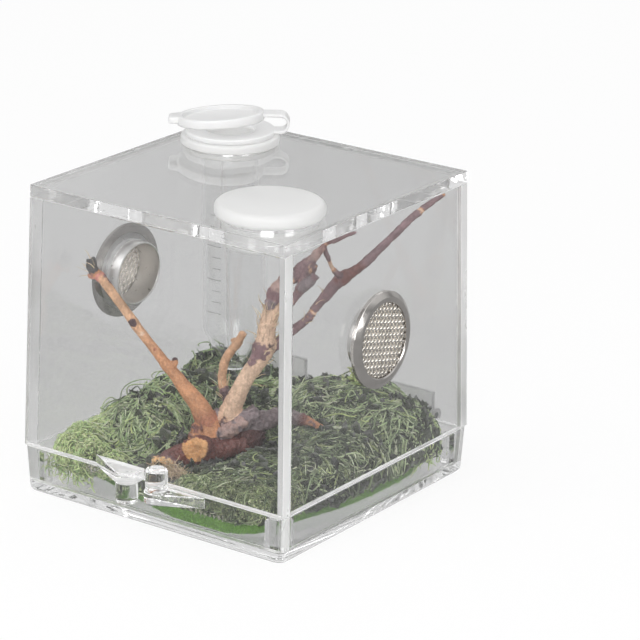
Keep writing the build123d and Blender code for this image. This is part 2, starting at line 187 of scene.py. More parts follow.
def apply(obj, kind, **settings):
    """Adds a modifier and replaces the object's mesh with what it gives."""
    made = obj.modifiers.new("step", kind)
    for key, value in settings.items():
        setattr(made, key, value)
    bpy.context.view_layer.update()
    graph = bpy.context.evaluated_depsgraph_get()
    mesh = bpy.data.meshes.new_from_object(obj.evaluated_get(graph))
    obj.modifiers.clear()
    obj.data = mesh
    return obj


def soften(obj, width=polish, segments=2):
    apply(obj, "BEVEL", width=width, segments=segments, limit_method="ANGLE", angle_limit=radians(35))
    return shade(obj)


def combine(obj, other, operation="DIFFERENCE"):
    apply(obj, "BOOLEAN", operation=operation, solver="EXACT", object=other)
    bpy.data.objects.remove(other)


def tidy(obj):
    """Merges doubled points and turns all faces outward."""
    work = bmesh.new()
    work.from_mesh(obj.data)
    bmesh.ops.remove_doubles(work, verts=work.verts, dist=0.001 * MM)
    bmesh.ops.recalc_face_normals(work, faces=work.faces)
    work.to_mesh(obj.data)
    work.free()
    return obj


def join(name, pieces):
    """One object from several meshes."""
    work = bmesh.new()
    mesh = bpy.data.meshes.new(name)
    for piece in pieces:
        work.from_mesh(piece.data)
        bpy.data.objects.remove(piece)
    work.to_mesh(mesh)
    work.free()
    return add_object(name, mesh)


def stack(name, rings):
    """Closed skin through rings of equally many points, ordered round and upward."""
    count = len(rings[0])
    last = (len(rings) - 1) * count
    faces = []
    for k in range(0, last, count):
        for i in range(count):
            a, b = k + i, k + (i + 1) % count
            faces.append((a, b, b + count, a + count))
    faces += [tuple(reversed(range(count))), tuple(range(last, last + count))]
    return make_mesh(name, [p for ring in rings for p in ring], faces)


def lathe(name, profile, place=None, segments=96):
    """Turned solid about Z. The profile is a list of (radius, height)."""
    points = []
    faces = []
    count = len(profile)
    for k in range(segments):
        a = TURN * k / segments
        points += [(r * cos(a), r * sin(a), h) for r, h in profile]
        here, after = k * count, (k + 1) % segments * count
        for i in range(count):
            j = (i + 1) % count
            faces.append((here + i, after + i, after + j, here + j))
    made = tidy(make_mesh(name, points, faces))
    if place is not None:
        made.data.transform(place)
    return shade(made, 32)


def rounded(profile, corners, steps=4):
    """Profile with some of its corners rounded: corners holds index to radius in millimetres."""
    result = []
    for i, point in enumerate(profile):
        if i not in corners:
            result.append(point)
            continue
        radius = corners[i] * MM
        here = Vector(point)
        to_last = (Vector(profile[i - 1]) - here).normalized()
        to_next = (Vector(profile[(i + 1) % len(profile)]) - here).normalized()
        angle = to_last.angle(to_next)
        reach = radius / tan(angle / 2)
        centre = here + (to_last + to_next).normalized() * radius / sin(angle / 2)
        start = here + to_last * reach - centre
        end = here + to_next * reach - centre
        for k in range(steps + 1):
            result.append(tuple(centre + start.slerp(end, k / steps, start).normalized() * radius))
    return result


def turn_piece(name, profile, corners, place, steps, angle, *dressed):
    """Turned and rounded solid, dressed as a piece."""
    made = shade(lathe(name, rounded(profile, corners, steps), place, 128), angle)
    dress(made, *dressed)
    return made


def dress(obj, mat, body, slot, *nodes):
    """Gives a piece its material and its body, and hides the frame nodes that it stands for. The slot is not
    used.
    """
    obj.data.materials.clear()
    obj.data.materials.append(mat)
    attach(obj, body)
    if nodes:
        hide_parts(*nodes)


def give_faces(obj, mat, chosen):
    """Second material for the faces that a test on normal and middle picks."""
    obj.data.materials.append(mat)
    for face in obj.data.polygons:
        if chosen(face.normal, face.center):
            face.material_index = 1


# Materials

def shadow_open(mat, shader, tint):
    """Lets lamps and soft light through a clear shader."""
    shadow, diffuse = (node(mat, "LightPath", get=ray) for ray in ("Is Shadow Ray", "Is Diffuse Ray"))
    clear = node(mat, "BsdfTransparent", Color=tint)
    return node(mat, "MixShader", at0=calc(mat, "MAXIMUM", shadow, diffuse), at1=shader, at2=clear)


def acrylic(name, tint, ripple=0.05):
    """Clear cast sheet, with faint smears and a faint ripple."""
    mat, where = begin(name)
    shader = node(
        mat, "BsdfPrincipled", Base_Color=tint, IOR=1.49, Transmission_Weight=1.0,
        Roughness=ramp(mat, grain_of(mat, where, 90.0, 3.0), 0.0, 0.035, 0.5, 0.78),
        Normal=bump(mat, grain_of(mat, where, 38.0, 1.0), ripple, 0.3 * MM),
    )
    return finish_material(mat, shadow_open(mat, shader, pass_tint))


def frosted(name, clear):
    """Sawn and glued faces of the clear sheet: pale, and only partly clear."""
    mat, where = begin(name, (1, 1, 0.2))
    strokes = grain_of(mat, where, 380.0, 3.0)
    shader = node(
        mat, "BsdfPrincipled", Base_Color=(0.80, 0.80, 0.80, 1), Roughness=ramp(mat, strokes, 0.25, 0.45),
        IOR=1.49, Transmission_Weight=ramp(mat, strokes, clear - 0.15, clear + 0.15),
    )
    return finish_material(mat, shadow_open(mat, shader, pass_tint))


def milky(name, colour, rough, clear, scatter=0.35, open_tint=None):
    """White rubber or moulded plastic that lets some light in."""
    mat, where = begin(name)
    cloud = grain_of(mat, where, 120.0, 3.0)
    darker = tuple(0.93 * c for c in colour[:3]) + (1,)
    shader = node(
        mat, "BsdfPrincipled", Base_Color=blend_colours(mat, cloud, darker, colour),
        Roughness=ramp(mat, cloud, rough - 0.06, rough + 0.08), IOR=1.41, Transmission_Weight=clear,
        Subsurface_Weight=scatter, Subsurface_Radius=(1.0, 1.0, 0.95), Subsurface_Scale=1.5 * MM,
        Normal=bump(mat, grain_of(mat, where, 2600.0, 2.0), 0.12, 0.03 * MM),
    )
    return finish_material(mat, shadow_open(mat, shader, open_tint) if open_tint else shader)


def steel(name, colour, rough):
    """Polished stainless steel with fine scratches."""
    mat, where = begin(name)
    fine = grain_of(mat, where, 900.0)
    stain = grain_of(mat, where, 160.0, 2.0)
    darker = tuple(0.82 * c for c in colour[:3]) + (1,)
    return finish_material(mat, node(
        mat, "BsdfPrincipled", Base_Color=blend_colours(mat, ramp(mat, stain, 0, 1), darker, colour),
        Metallic=1.0, Roughness=ramp(mat, fine, rough, rough + 0.12), Normal=bump(mat, fine, 0.08, 0.02 * MM),
    ))


def fibre(name):
    """Plant fibre: its colour is kept on the mesh and broken up by grain."""
    mat, where = begin(name)
    grain = grain_of(mat, where, 900.0, 3.0)
    return finish_material(mat, node(
        mat, "BsdfPrincipled", Base_Color=kept_shade(mat, ramp(mat, grain, 0.72, 1.25)), Roughness=0.7,
        Sheen_Weight=0.3, Sheen_Roughness=0.5, Subsurface_Weight=0.15, Subsurface_Radius=(0.5, 1.0, 0.3),
        Subsurface_Scale=0.5 * MM, Normal=bump(mat, grain, 0.5, 0.1 * MM),
    ))


def felt(name):
    """Bright green felt."""
    mat, where = begin(name)
    patch = ramp(mat, grain_of(mat, where, 260.0, 3.0), 0, 1)
    hair = grain_of(mat, where, 1900.0, 3.0)
    colour = blend_colours(mat, patch, (0.045, 0.12, 0.02, 1), (0.11, 0.25, 0.04, 1))
    colour = blend_colours(mat, ramp(mat, hair, 0, 0.6), colour, (0.20, 0.36, 0.08, 1))
    return finish_material(mat, node(
        mat, "BsdfPrincipled", Base_Color=colour, Roughness=0.95, Sheen_Weight=0.4, Sheen_Roughness=0.5,
        Normal=bump(mat, hair, 0.8, 0.25 * MM),
    ))


def wood(name):
    """Twig: colours kept on the mesh, with long grain, pits and a little gloss on the bark."""
    mat, where = begin(name)
    gloss = node(mat, "Attribute", {"attribute_name": "gloss"}, "Fac")
    fine = grain_of(mat, where, 1500.0)
    broad = grain_of(mat, where, 330.0)
    light = calc(mat, "MULTIPLY", ramp(mat, fine, 0.78, 1.2), ramp(mat, broad, 0.75, 1.25))
    return finish_material(mat, node(
        mat, "BsdfPrincipled", Base_Color=kept_shade(mat, light),
        Roughness=ramp(mat, gloss, 0.75, 0.32, 0.0, 1.0), Normal=bump(mat, fine, 0.45, 0.08 * MM),
    ))


pass_tint = (0.98, 0.98, 0.98, 1)
# The big sheets' grey tint, far stronger than clear acrylic's, is painted shade that dims all seen through the
# box
sheet_mat = acrylic("clear_sheet", (0.76, 0.76, 0.76, 1))
small_mat = acrylic("clear_small", (0.92, 0.92, 0.92, 1), 0.1)
tube_mat = acrylic("tube_clear", (0.965, 0.967, 0.967, 1), 0.08)
frost_mat = frosted("sheet_edge", 0.60)
silicone_mat = milky("silicone_white", (0.69, 0.69, 0.685, 1), 0.45, 0.0)
grommet_mat = milky("silicone_clear", (0.74, 0.74, 0.735, 1), 0.35, 0.12, 0.3, (0.9, 0.9, 0.9, 1))
cap_mat = milky("cap_plastic", (0.78, 0.78, 0.78, 1), 0.34, 0.1, 0.4, (0.92, 0.92, 0.92, 1))
hinge_mat = milky("hinge_plastic", (1, 1, 1, 1), 0.5, 0.6, 0.1)
steel_mat = steel("vent_polish", (0.74, 0.71, 0.68, 1), 0.10)
sleeve_mat = steel("vent_satin", (0.84, 0.83, 0.82, 1), 0.26)
wire_mat = steel("vent_wire", (0.93, 0.89, 0.83, 1), 0.16)
pin_mat = steel("pin_polish", (0.62, 0.62, 0.62, 1), 0.2)
moss_mat = fibre("moss_fibre")
wood_mat = wood("twig")
felt_mat = felt("felt_green")


# Camera, as the photograph was taken

view_azimuth = radians(35.20)
view_elevation = radians(19.28)
view_roll = radians(1.08)
view_distance = 862.3 * MM
view_target = Vector((9.0, 17.8, 40.0)) * MM
focal_pixels = 3417.5
frame_pixels = 640
sensor = 36.0


def make_camera():
    out = cos(view_elevation)
    back = Vector((sin(view_azimuth) * out, -cos(view_azimuth) * out, sin(view_elevation)))
    level = (-back).cross(Vector((0, 0, 1))).normalized()
    upward = level.cross(-back)
    right = cos(view_roll) * level + sin(view_roll) * upward
    top = cos(view_roll) * upward - sin(view_roll) * level
    data = bpy.data.cameras.new("photo_camera")
    data.sensor_width = sensor
    data.lens = focal_pixels / frame_pixels * sensor
    data.clip_start = 0.05
    data.clip_end = 50
    made = add_object("photo_camera", data)
    turn = Matrix((right, top, back)).transposed().to_4x4()
    made.matrix_world = moved(view_target + back * view_distance) @ turn
    bpy.context.scene.camera = made


# Floor, world and lamps

def straight_rays(tree):
    """One for rays from the camera, also through clear sheets, and nought for the rest."""
    camera, through = (node(tree, "LightPath", get=ray) for ray in ("Is Camera Ray", "Is Transmission Ray"))
    return calc(tree, "MAXIMUM", camera, through)


floor_pale = (0.86, 0.86, 0.86, 1)
floor_lit = 0.86
mirror_loss = 0.66
floor_reach = 8.0
floor_drop = 0.05 * MM


def make_floor():
    """White floor, somewhat darker where it is only seen as a reflection."""
    mat, _ = begin("floor_white")
    straight = straight_rays(mat)
    mirrored = calc(mat, "SUBTRACT", node(mat, "LightPath", get="Is Glossy Ray"), straight, use_clamp=True)
    strength = calc(mat, "MULTIPLY_ADD", mirrored, -mirror_loss, 1.0)
    lit = node(mat, "Emission", Color=(1, 1, 1, 1), Strength=strength)
    pale = node(mat, "BsdfDiffuse", Color=floor_pale)
    share = calc(mat, "MULTIPLY_ADD", straight, floor_lit, mirrored)
    finish_material(mat, node(mat, "MixShader", at0=share, at1=pale, at2=lit))
    square = ((-1, -1), (1, -1), (1, 1), (-1, 1))
    corners = [(x * floor_reach, y * floor_reach, -floor_drop) for x, y in square]
    floor = make_mesh("floor", corners, [(0, 1, 2, 3)])
    floor.data.materials.append(mat)


world_light = 0.62


def make_world():
    world = bpy.data.worlds.new("studio")
    bpy.context.scene.world = world
    world.use_nodes = True
    world.node_tree.nodes.clear()
    place = node(world, "TexCoord", get="Generated")
    height = ramp(world, node(world, "SeparateXYZ", get="Z", Vector=place), 0.35, 1.0, -0.1, 0.9)
    banded = node(world, "TexWave", {"bands_direction": "X"}, "Fac", Vector=place, Scale=0.7, Distortion=1.2,
                  Phase_Offset=1.0)
    bright = calc(world, "MULTIPLY", height, ramp(world, banded, 0.45, 1.0, 0.0, 0.5))
    glossy = node(world, "LightPath", get="Is Glossy Ray")
    strength = node(world, "Mix", at0=glossy, at2=world_light, at3=bright)
    strength = node(world, "Mix", at0=straight_rays(world), at2=strength, at3=1.0)
    light = node(world, "Background", Color=(1, 1, 1, 1), Strength=strength)
    node(world, "OutputWorld", get=None, Surface=light)


# Lamps: name, place, size and power
lamps = (
    ("key_softbox", (-0.25, -0.75, 0.9), (0.5, 0.5), 4.4),
    ("side_softbox", (0.95, -0.15, 0.55), (0.35, 0.6), 2.4),
    ("front_softbox", (0.5, -0.85, 0.42), (0.5, 0.4), 3.4),
    ("back_softbox", (-0.3, 0.9, 0.8), (0.6, 0.4), 2.0),
)
lamp_aim = Vector((0, 0, 0.03))


def make_lamps():
    for name, place, size, power in lamps:
        data = bpy.data.lights.new(name, "AREA")
        data.shape = "RECTANGLE"
        data.size, data.size_y = size
        data.energy = power
        turn = (lamp_aim - Vector(place)).to_track_quat("-Z", "Y").to_matrix().to_4x4()
        add_object(name, data).matrix_world = moved(Vector(place)) @ turn


# Sheets of the cover and the tray

def cover_half(z):
    """Half width of the cover's outside at a height."""
    return half - cover_slope * (z - cover_base)


def tray_half(z):
    """Half width of the tray's outside at a height."""
    return half - tray_slope * (rim_z - z)


def arc(cx, cy, radius, start, turn=QUARTER, steps=6):
    angles = [start + turn * k / steps for k in range(steps + 1)]
    return [(cx + radius * cos(a), cy + radius * sin(a)) for a in angles]


def end_wall(reach, corner):
    """Plan of the front wall, which runs the full width with rounded outer corners."""
    left = arc(-reach + corner, -reach + corner, corner, pi)
    right = arc(reach - corner, -reach + corner, corner, pi + QUARTER)
    return left + right + [(reach, -reach + sheet), (-reach, -reach + sheet)]


def side_wall(reach, corner):
    """Plan of the right wall, which lies between the front and back walls and has square corners."""
    inner = reach - sheet
    end = inner - joint_gap
    return [(inner, -end), (reach, -end), (reach, end), (inner, end)]


def rounded_square(reach, corner, z):
    points = []
    for k, (x, y) in enumerate(((-1, -1), (1, -1), (1, 1), (-1, 1))):
        points += arc((reach - corner) * x, (reach - corner) * y, corner, pi + k * QUARTER)
    return [(x, y, z) for x, y in points]


def make_panels(prefix, reach_at, corner, low, high):
    """Four walls of a half of the box. The back and left ones are the others, turned by half a turn."""
    for name, sign, plan, across in (("front", 1, end_wall, 0), ("back", -1, end_wall, 0),
                                     ("right", 1, side_wall, 1), ("left", -1, side_wall, 1)):
        rings = [[(sign * x, sign * y, z) for x, y in plan(reach_at(z), corner)] for z in (low, high)]
        wall = stack(prefix + "_" + name + "_sheet", rings)
        if prefix == "cover" and plan is side_wall:
            combine(wall, round_cutter(vent_hole, -9 * MM, 9 * MM, vent_place(name) @ lay_along_x))
        soften(wall)
        dress(wall, sheet_mat, prefix, "clear_acrylic", prefix + "_" + name + "_wall")
        give_faces(wall, frost_mat, lambda n, c: abs(n.z) > 0.6 or abs(n[across]) > 0.75)


lay_along_x = turned(QUARTER, "Y")
sleeve_bore = 7.65 * MM
sleeve_wall = 0.55 * MM
vent_hole = sleeve_bore + sleeve_wall + 0.1 * MM


def vent_place(side):
    """Seat of a vent on its wall: its own +X points out of the wall."""
    z = middle_of(side + "_vent_bezel").z
    sign = 1 if side == "right" else -1
    turn = turned(0 if sign > 0 else pi, "Z") @ turned(-atan(cover_slope), "Y")
    return moved((sign * cover_half(z), 0, z)) @ turn


def round_cutter(radius, low, high, place):
    return lathe("hole", [(0, low), (radius, low), (radius, high), (0, high)], place)


plug_port = 12.0 * MM
tube_port = 10.5 * MM


def make_lid():
    low = lid_low + joint_gap
    lid = stack("cover_top_sheet", [rounded_square(cover_half(z), cover_corner, z) for z in (low, lid_high)])
    for spot, port in ((plug_at, plug_port), (grommet_at, tube_port)):
        combine(lid, round_cutter(port, low - sheet, lid_high + sheet, moved((spot.x, spot.y, 0))))
    soften(lid)
    dress(lid, sheet_mat, "cover", "clear_acrylic", "cover_top")


def make_tray_floor():
    rings = []
    for k in range(5):
        a = QUARTER * k / 4
        z = tray_bottom * (1 - cos(a))
        rings.append(rounded_square(tray_half(z) - tray_bottom * (1 - sin(a)), tray_corner, z))
    top = floor_top - joint_gap
    rings.append(rounded_square(tray_half(top), tray_corner, top))
    dress(shade(stack("tray_floor_sheet", rings), 25), sheet_mat, "tray", "clear_acrylic", "tray_floor")


post_radius = 3.4 * MM
post_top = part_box("corner_posts")[1].z
post_chamfer = 0.8 * MM


def make_posts():
    """Quarter round posts in the tray's inner corners."""
    posts = []
    seat = tray_half(floor_top) - sheet - joint_gap
    for k in range(4):
        spin = turned(k * QUARTER, "Z")
        rings = []
        for z, less in ((floor_top + joint_gap, 0), (post_top - post_chamfer, 0), (post_top, post_chamfer)):
            ring = [(seat, seat)] + arc(seat, seat, post_radius - less, pi)
            rings.append([tuple(spin @ Vector((x, y, z))) for x, y in ring])
        posts.append(stack("post", rings))
    dress(shade(join("inner_corner_posts", posts), 20), small_mat, "tray", "clear_acrylic", "corner_posts")


tab_length = 15.4 * MM
tab_side_gap = 1.6 * MM
peg_radius = 2.8 * MM
peg_spread = 4.6 * MM
peg_stand_off = 3.2 * MM
tab_margin = 0.3 * MM


def tab_outline(wall_y):
    """Plan of the tab on the right of the middle, root on the wall, round tip about the peg."""
    tip = Vector((peg_spread, -half - peg_stand_off))
    radius = peg_radius + tab_margin
    far = Vector((tab_side_gap + tab_length, wall_y))
    ray = far - tip
    touch = atan2(ray.y, ray.x) - acos(radius / ray.length)
    return [(tip.x - radius, wall_y)] + arc(tip.x, tip.y, radius, pi, pi + touch, 14) + [tuple(far)]


def make_tab(name, body, side, reach_at):
    part = body + "_tab"
    rings = []
    for z in (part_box(part)[0].z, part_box(part)[1].z):
        ring = tab_outline(-reach_at(z) - joint_gap)
        rings.append([(side * x, y, z) for x, y in ring[::side]])
    tab = soften(stack(name, rings), 0.3 * MM)
    dress(tab, small_mat, body, "clear_acrylic", part)
    if side < 0:
        give_faces(tab, frost_mat, lambda n, c: abs(n.z) > 0.6)


def make_peg(name, body, side):
    """Round peg with its free end rounded: it stands on the right and hangs on the left."""
    low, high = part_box(body + "_peg")
    length = high.z - low.z - joint_gap
    profile = rounded([(0, 0), (peg_radius, 0), (peg_radius, length), (0, length)], {1: 0.25, 2: 0.8}, 5)
    foot = low.z + joint_gap if side > 0 else high.z - joint_gap
    seat = moved((side * peg_spread, -half - peg_stand_off, foot)) @ turned(0 if side > 0 else pi, "X")
    dress(lathe(name, profile, seat, 64), small_mat, body, "clear_acrylic", body + "_peg")


# Vents

bezel_radius = 12.2 * MM
bezel_depth = 1.8 * MM
bezel_window = 9.4 * MM
bezel_bevel = 0.9 * MM
lip_depth = 1.05 * MM
mesh_radius = 9.8 * MM
flange_radius = 9.8 * MM
flange_depth = 0.5 * MM
sleeve_projection = 2.5 * MM
wire_pitch = 1.12 * MM
wire_radius = 0.30 * MM
weave_turn = radians(31)
skin_gap = 0.02 * MM


def many_tubes(name, paths, radii, sides=4):
    """One mesh of closed tubes. paths is (tubes, points, 3) and radii is (tubes, points)."""
    tangent = unit(np.gradient(paths, axis=1), 1e-12)
    guide = np.where(np.abs(tangent[:, :1, 2:3]) > 0.8, [[[1.0, 0, 0]]], [[[0, 0, 1.0]]])
    across = unit(np.cross(tangent, np.broadcast_to(guide, tangent.shape)), 1e-12)
    other = np.cross(tangent, across)
    angles = (np.arange(sides) * TURN / sides)[None, None, :, None]
    spokes = np.cos(angles) * across[:, :, None, :] + np.sin(angles) * other[:, :, None, :]
    rings = paths[:, :, None, :] + radii[:, :, None, None] * spokes
    index = np.arange(rings.size // 3).reshape(rings.shape[:3])
    after = np.roll(index, -1, axis=2)
    quads = [np.stack([index[:, :-1], index[:, 1:], after[:, 1:], after[:, :-1]], axis=-1).reshape(-1, 4)]
    for k in range(1, sides - 1, 2):
        quads += [index[:, 0][:, [0, k, k + 1, k + 2]], index[:, -1][:, [0, k + 2, k + 1, k]]]
    return make_mesh(name, rings.reshape(-1, 3), np.concatenate(quads))


def unit(rows, least=1e-9):
    return rows / (norm(rows, axis=-1, keepdims=True) + least)


def woven_disc(name, place):
    """Plain weave of round wires, cut to a disc across the vent's own X."""
    count = int(bezel_window / wire_pitch)
    steps = 4 * count + 3
    paths = []
    for way in (0, 1):
        for i in range(-count, count + 1):
            offset = i * wire_pitch
            reach = sqrt((bezel_window - wire_radius / 2) ** 2 - offset ** 2)
            along = np.linspace(-reach, reach, steps)
            lift = wire_radius * (2.0 + 0.8 * np.cos(pi * (along / wire_pitch + i + way)))
            rows = [flange_depth + lift, along, np.full(steps, offset)]
            paths.append(np.column_stack([rows[0], rows[1 + way], rows[2 - way]]))
    paths = np.array(paths)
    made = many_tubes(name, paths, np.full(paths.shape[:2], wire_radius), 6)
    made.data.transform(place @ turned(weave_turn, "X"))
    return made


def make_vent(side):
    place = vent_place(side)
    rim = bezel_radius - bezel_bevel - 0.55 * MM
    clear = mesh_radius + 0.1 * MM
    inner = -sheet - sleeve_projection
    bezel = [
        (bezel_window, lip_depth), (bezel_window, bezel_depth - 0.25 * MM),
        (bezel_window + 0.35 * MM, bezel_depth), (rim, bezel_depth),
        (bezel_radius, bezel_depth - bezel_bevel), (bezel_radius, skin_gap),
        (clear, skin_gap), (clear, lip_depth),
    ]
    tube = [
        (sleeve_bore, inner), (sleeve_bore + sleeve_wall, inner), (sleeve_bore + sleeve_wall, skin_gap),
        (flange_radius, skin_gap), (flange_radius, flange_depth), (sleeve_bore, flange_depth),
    ]
    seat = place @ lay_along_x
    turn_piece(side + "_bezel_ring", bezel, {1: 0.12, 2: 0.12, 3: 0.5, 4: 0.3}, seat, 5, 50,
               steel_mat, "cover", "vent_steel", side + "_vent_bezel")
    turn_piece(side + "_sleeve_tube", tube, {0: 0.2, 1: 0.2, 5: 0.3}, seat, 4, 50,
               sleeve_mat, "cover", "vent_steel", side + "_vent_sleeve")
    dress(woven_disc(side + "_woven_mesh", place), wire_mat, "cover", "mesh_steel", side + "_vent_mesh")


# Plug, grommet, tube and cap

plug_head_radius = 13.4 * MM
plug_head = 4.0 * MM
plug_depth = 6.0 * MM
plug_hollow_depth = 1.6 * MM
plug_hollow = 8.6 * MM
plug_rim = 9.4 * MM
plug_foot = 11.45 * MM
plug_neck = 11.85 * MM
plug_crown = 0.25 * MM


def make_plug():
    """Moulded stopper: domed head with a soft edge, tapered stem with a hollow underside."""
    low = lid_high - plug_depth
    seat = lid_high + skin_gap
    top = lid_high + plug_head
    roof = low + plug_hollow_depth
    profile = [
        (0, roof), (plug_hollow, roof), (plug_rim, low), (plug_foot, low), (plug_neck, seat),
        (plug_head_radius, seat), (plug_head_radius, top - plug_crown), (0, top),
    ]
    turn_piece("stopper", profile, {2: 0.5, 3: 0.6, 5: 1.5, 6: 1.7}, moved((plug_at.x, plug_at.y, 0)), 7, 40,
               silicone_mat, "plug", "silicone", "silicone_plug")


grommet_radius = 12.6 * MM
grommet_flange = 2.2 * MM
grommet_lip = 11.6 * MM
grommet_lip_depth = 1.2 * MM
tube_radius = 7.3 * MM
tube_wall = 0.9 * MM


def make_grommet():
    bore = tube_radius + 0.05 * MM
    low = lid_low - grommet_lip_depth
    under = lid_low - skin_gap
    seat = lid_high + skin_gap
    top = lid_high + grommet_flange
    barrel = tube_port - 0.06 * MM
    profile = [
        (bore, low), (grommet_lip, low), (grommet_lip, under), (barrel, under),
        (barrel, seat), (grommet_radius, seat), (grommet_radius, top), (bore, top),
    ]
    turn_piece("grommet_ring", profile, {0: 0.3, 1: 0.5, 5: 0.4, 6: 0.7, 7: 0.3},
               moved((grommet_at.x, grommet_at.y, 0)), 6, 40, grommet_mat, "cover", "silicone", "tube_grommet")


collar_low = lid_high + grommet_flange
collar_depth = 1.4 * MM
collar_high = collar_low + collar_depth
collar_radius = 11.5 * MM
tube_straight = 30.0 * MM
tube_tip = 19.0 * MM
tube_tip_radius = 2.4 * MM
strap_direction = radians(35.2)
strap_reach = 15.2 * MM
strap_width = 5.0 * MM
strap_depth = 0.8 * MM
fold_radius = 2.6 * MM
strap_low = collar_high - strap_depth
fold_z = strap_low + fold_radius
cap_radius = 11.2 * MM
cap_depth = 2.4 * MM
cap_dish = 9.7 * MM
cap_dish_depth = 1.1 * MM
cap_shift = 2.4 * MM
cap_base = collar_high + 1.6 * MM
cap_tilt_along = radians(4.4)
cap_tilt_across = radians(5.0)
cap_lip_reach = 2.0 * MM
cap_lip_width = 7.0 * MM
cap_lip_drop = 0.8 * MM
cap_lip_round = 1.4 * MM
cap_lip_root = 0.9 * MM
spigot_radius = 5.8 * MM
spigot_wall = 0.8 * MM
spigot_depth = 0.7 * MM
tube_place = moved((grommet_at.x, grommet_at.y, 0)) @ turned(strap_direction, "Z")


def make_tube():
    bore = tube_radius - tube_wall
    inner_tip = tube_tip + tube_wall
    profile = [
        (0, tube_tip), (tube_tip_radius, tube_tip), (tube_radius, tube_straight), (tube_radius, collar_low),
        (collar_radius, collar_low + skin_gap), (collar_radius, collar_high), (bore, collar_high),
        (bore, tube_straight), (tube_tip_radius - tube_wall / 2, inner_tip), (0, inner_tip),
    ]
    corners = {1: 1.0, 2: 3.0, 3: 0.4, 4: 0.3, 5: 0.4, 6: 0.4, 7: 3.0, 8: 0.6}
    made = turn_piece("drop_tube", profile, corners, tube_place, 6, 40,
                      tube_mat, "tube", "tube_plastic", "feeding_tube")
    give_faces(made, cap_mat, lambda n, c: c.z > collar_low - skin_gap)


tick_count = 9
tick_low = 36.0 * MM
tick_pitch = 3.0 * MM
tick_start = radians(-78)
long_tick = radians(34)
short_tick = radians(18)
tick_sunk = 0.03 * MM
tick_steps = 12
# Section of a tick, as height over the tube's side and place along it, in millimetres
tick_section = ((0.0, -0.11), (0.07, -0.06), (0.07, 0.06), (0.0, 0.11))


def make_ticks():
    """Plain raised graduation marks on the tube, long and short by turns."""
    marks = []
    for k in range(tick_count):
        z = tick_low + tick_pitch * k
        sweep = short_tick if k % 3 else long_tick
        rings = []
        for i in range(tick_steps + 1):
            a = tick_start - sweep * i / tick_steps
            ring = []
            for r, dz in tick_section:
                reach = tube_radius + r * MM - tick_sunk
                ring.append((reach * cos(a), reach * sin(a), z + dz * MM))
            rings.append(ring)
        marks.append(stack("tick", rings))
    joined = tidy(join("tube_ticks", marks))
    joined.data.transform(moved((grommet_at.x, grommet_at.y, 0)))
    dress(joined, tube_mat, "tube", "tube_plastic")


def make_cap():
    """Dished cap with its spigot and thumb lip, leaning about its own middle."""
    base = cap_base
    top = base + cap_depth
    dish = top - cap_dish_depth
    low = base - spigot_depth
    inner = spigot_radius - spigot_wall
    profile = [
        (0, base), (inner, base), (inner, low), (spigot_radius, low), (spigot_radius, base),
        (cap_radius, base), (cap_radius, top), (cap_dish, top), (cap_dish - 0.3 * MM, dish), (0, dish + 0.1 * MM),
    ]
    corners = {2: 0.2, 3: 0.2, 5: 0.6, 6: 0.5, 7: 0.4, 8: 0.4}
    disc = lathe("flip_cap", rounded(profile, corners, 6), moved((-cap_shift, 0, 0)), 128)
    edge = -cap_shift - cap_radius
    root = edge + cap_lip_root
    turn = edge - cap_lip_reach + cap_lip_round
    wide = cap_lip_width / 2
    side = wide - cap_lip_round
    ring = [(root, -wide * 1.15), (root, wide * 1.15)]
    ring += arc(turn, side, cap_lip_round, QUARTER) + arc(turn, -side, cap_lip_round, pi)
    rings = [[(x, y, z) for x, y in ring] for z in (base + cap_lip_drop, top)]
    combine(disc, soften(stack("lip", rings), 0.35 * MM, 3), "UNION")
    pivot = Vector((-cap_shift, 0, cap_base))
    lean = turned(-cap_tilt_across, "X") @ turned(-cap_tilt_along, "Y")
    disc.data.transform(tube_place @ moved(pivot) @ lean @ moved(-pivot))
    dress(shade(disc, 40), cap_mat, "cap", "cap_plastic", "tube_cap")


def make_strap():
    """Soft band from the collar round its fold to the cap."""
    centre_x = strap_reach - fold_radius
    mid = strap_depth / 2
    upper = fold_z + fold_radius - mid
    bend = fold_radius - mid
    line = [(collar_radius - 0.3 * MM, strap_low + mid)]
    line += [(centre_x + bend * sin(a), fold_z - bend * cos(a)) for a in np.linspace(0.0, pi, 17)]
    line += [(cap_radius - cap_shift - 0.4 * MM, upper)]
    wide = strap_width / 2
    edge = 0.25 * MM
    rings = []
    for k, (x, z) in enumerate(line):
        along = (Vector(line[min(k + 1, len(line) - 1)]) - Vector(line[max(k - 1, 0)])).normalized()
        thin = mid * (0.8 if 4 < k < 14 else 1.0)
        ring = []
        for y, n in ((-wide, edge - thin), (edge - wide, -thin), (wide - edge, -thin), (wide, edge - thin),
                     (wide, thin - edge), (wide - edge, thin), (edge - wide, thin), (-wide, thin - edge)):
            ring.append((x - along.y * n, y, z + along.x * n))
        rings.append(ring)
    strap = shade(tidy(stack("cap_strap", rings)), 40)
    strap.data.transform(tube_place)
    strap.data.materials.append(cap_mat)
    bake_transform(strap)


# Branch, drawn in millimetres: x, y, z and radius at each point

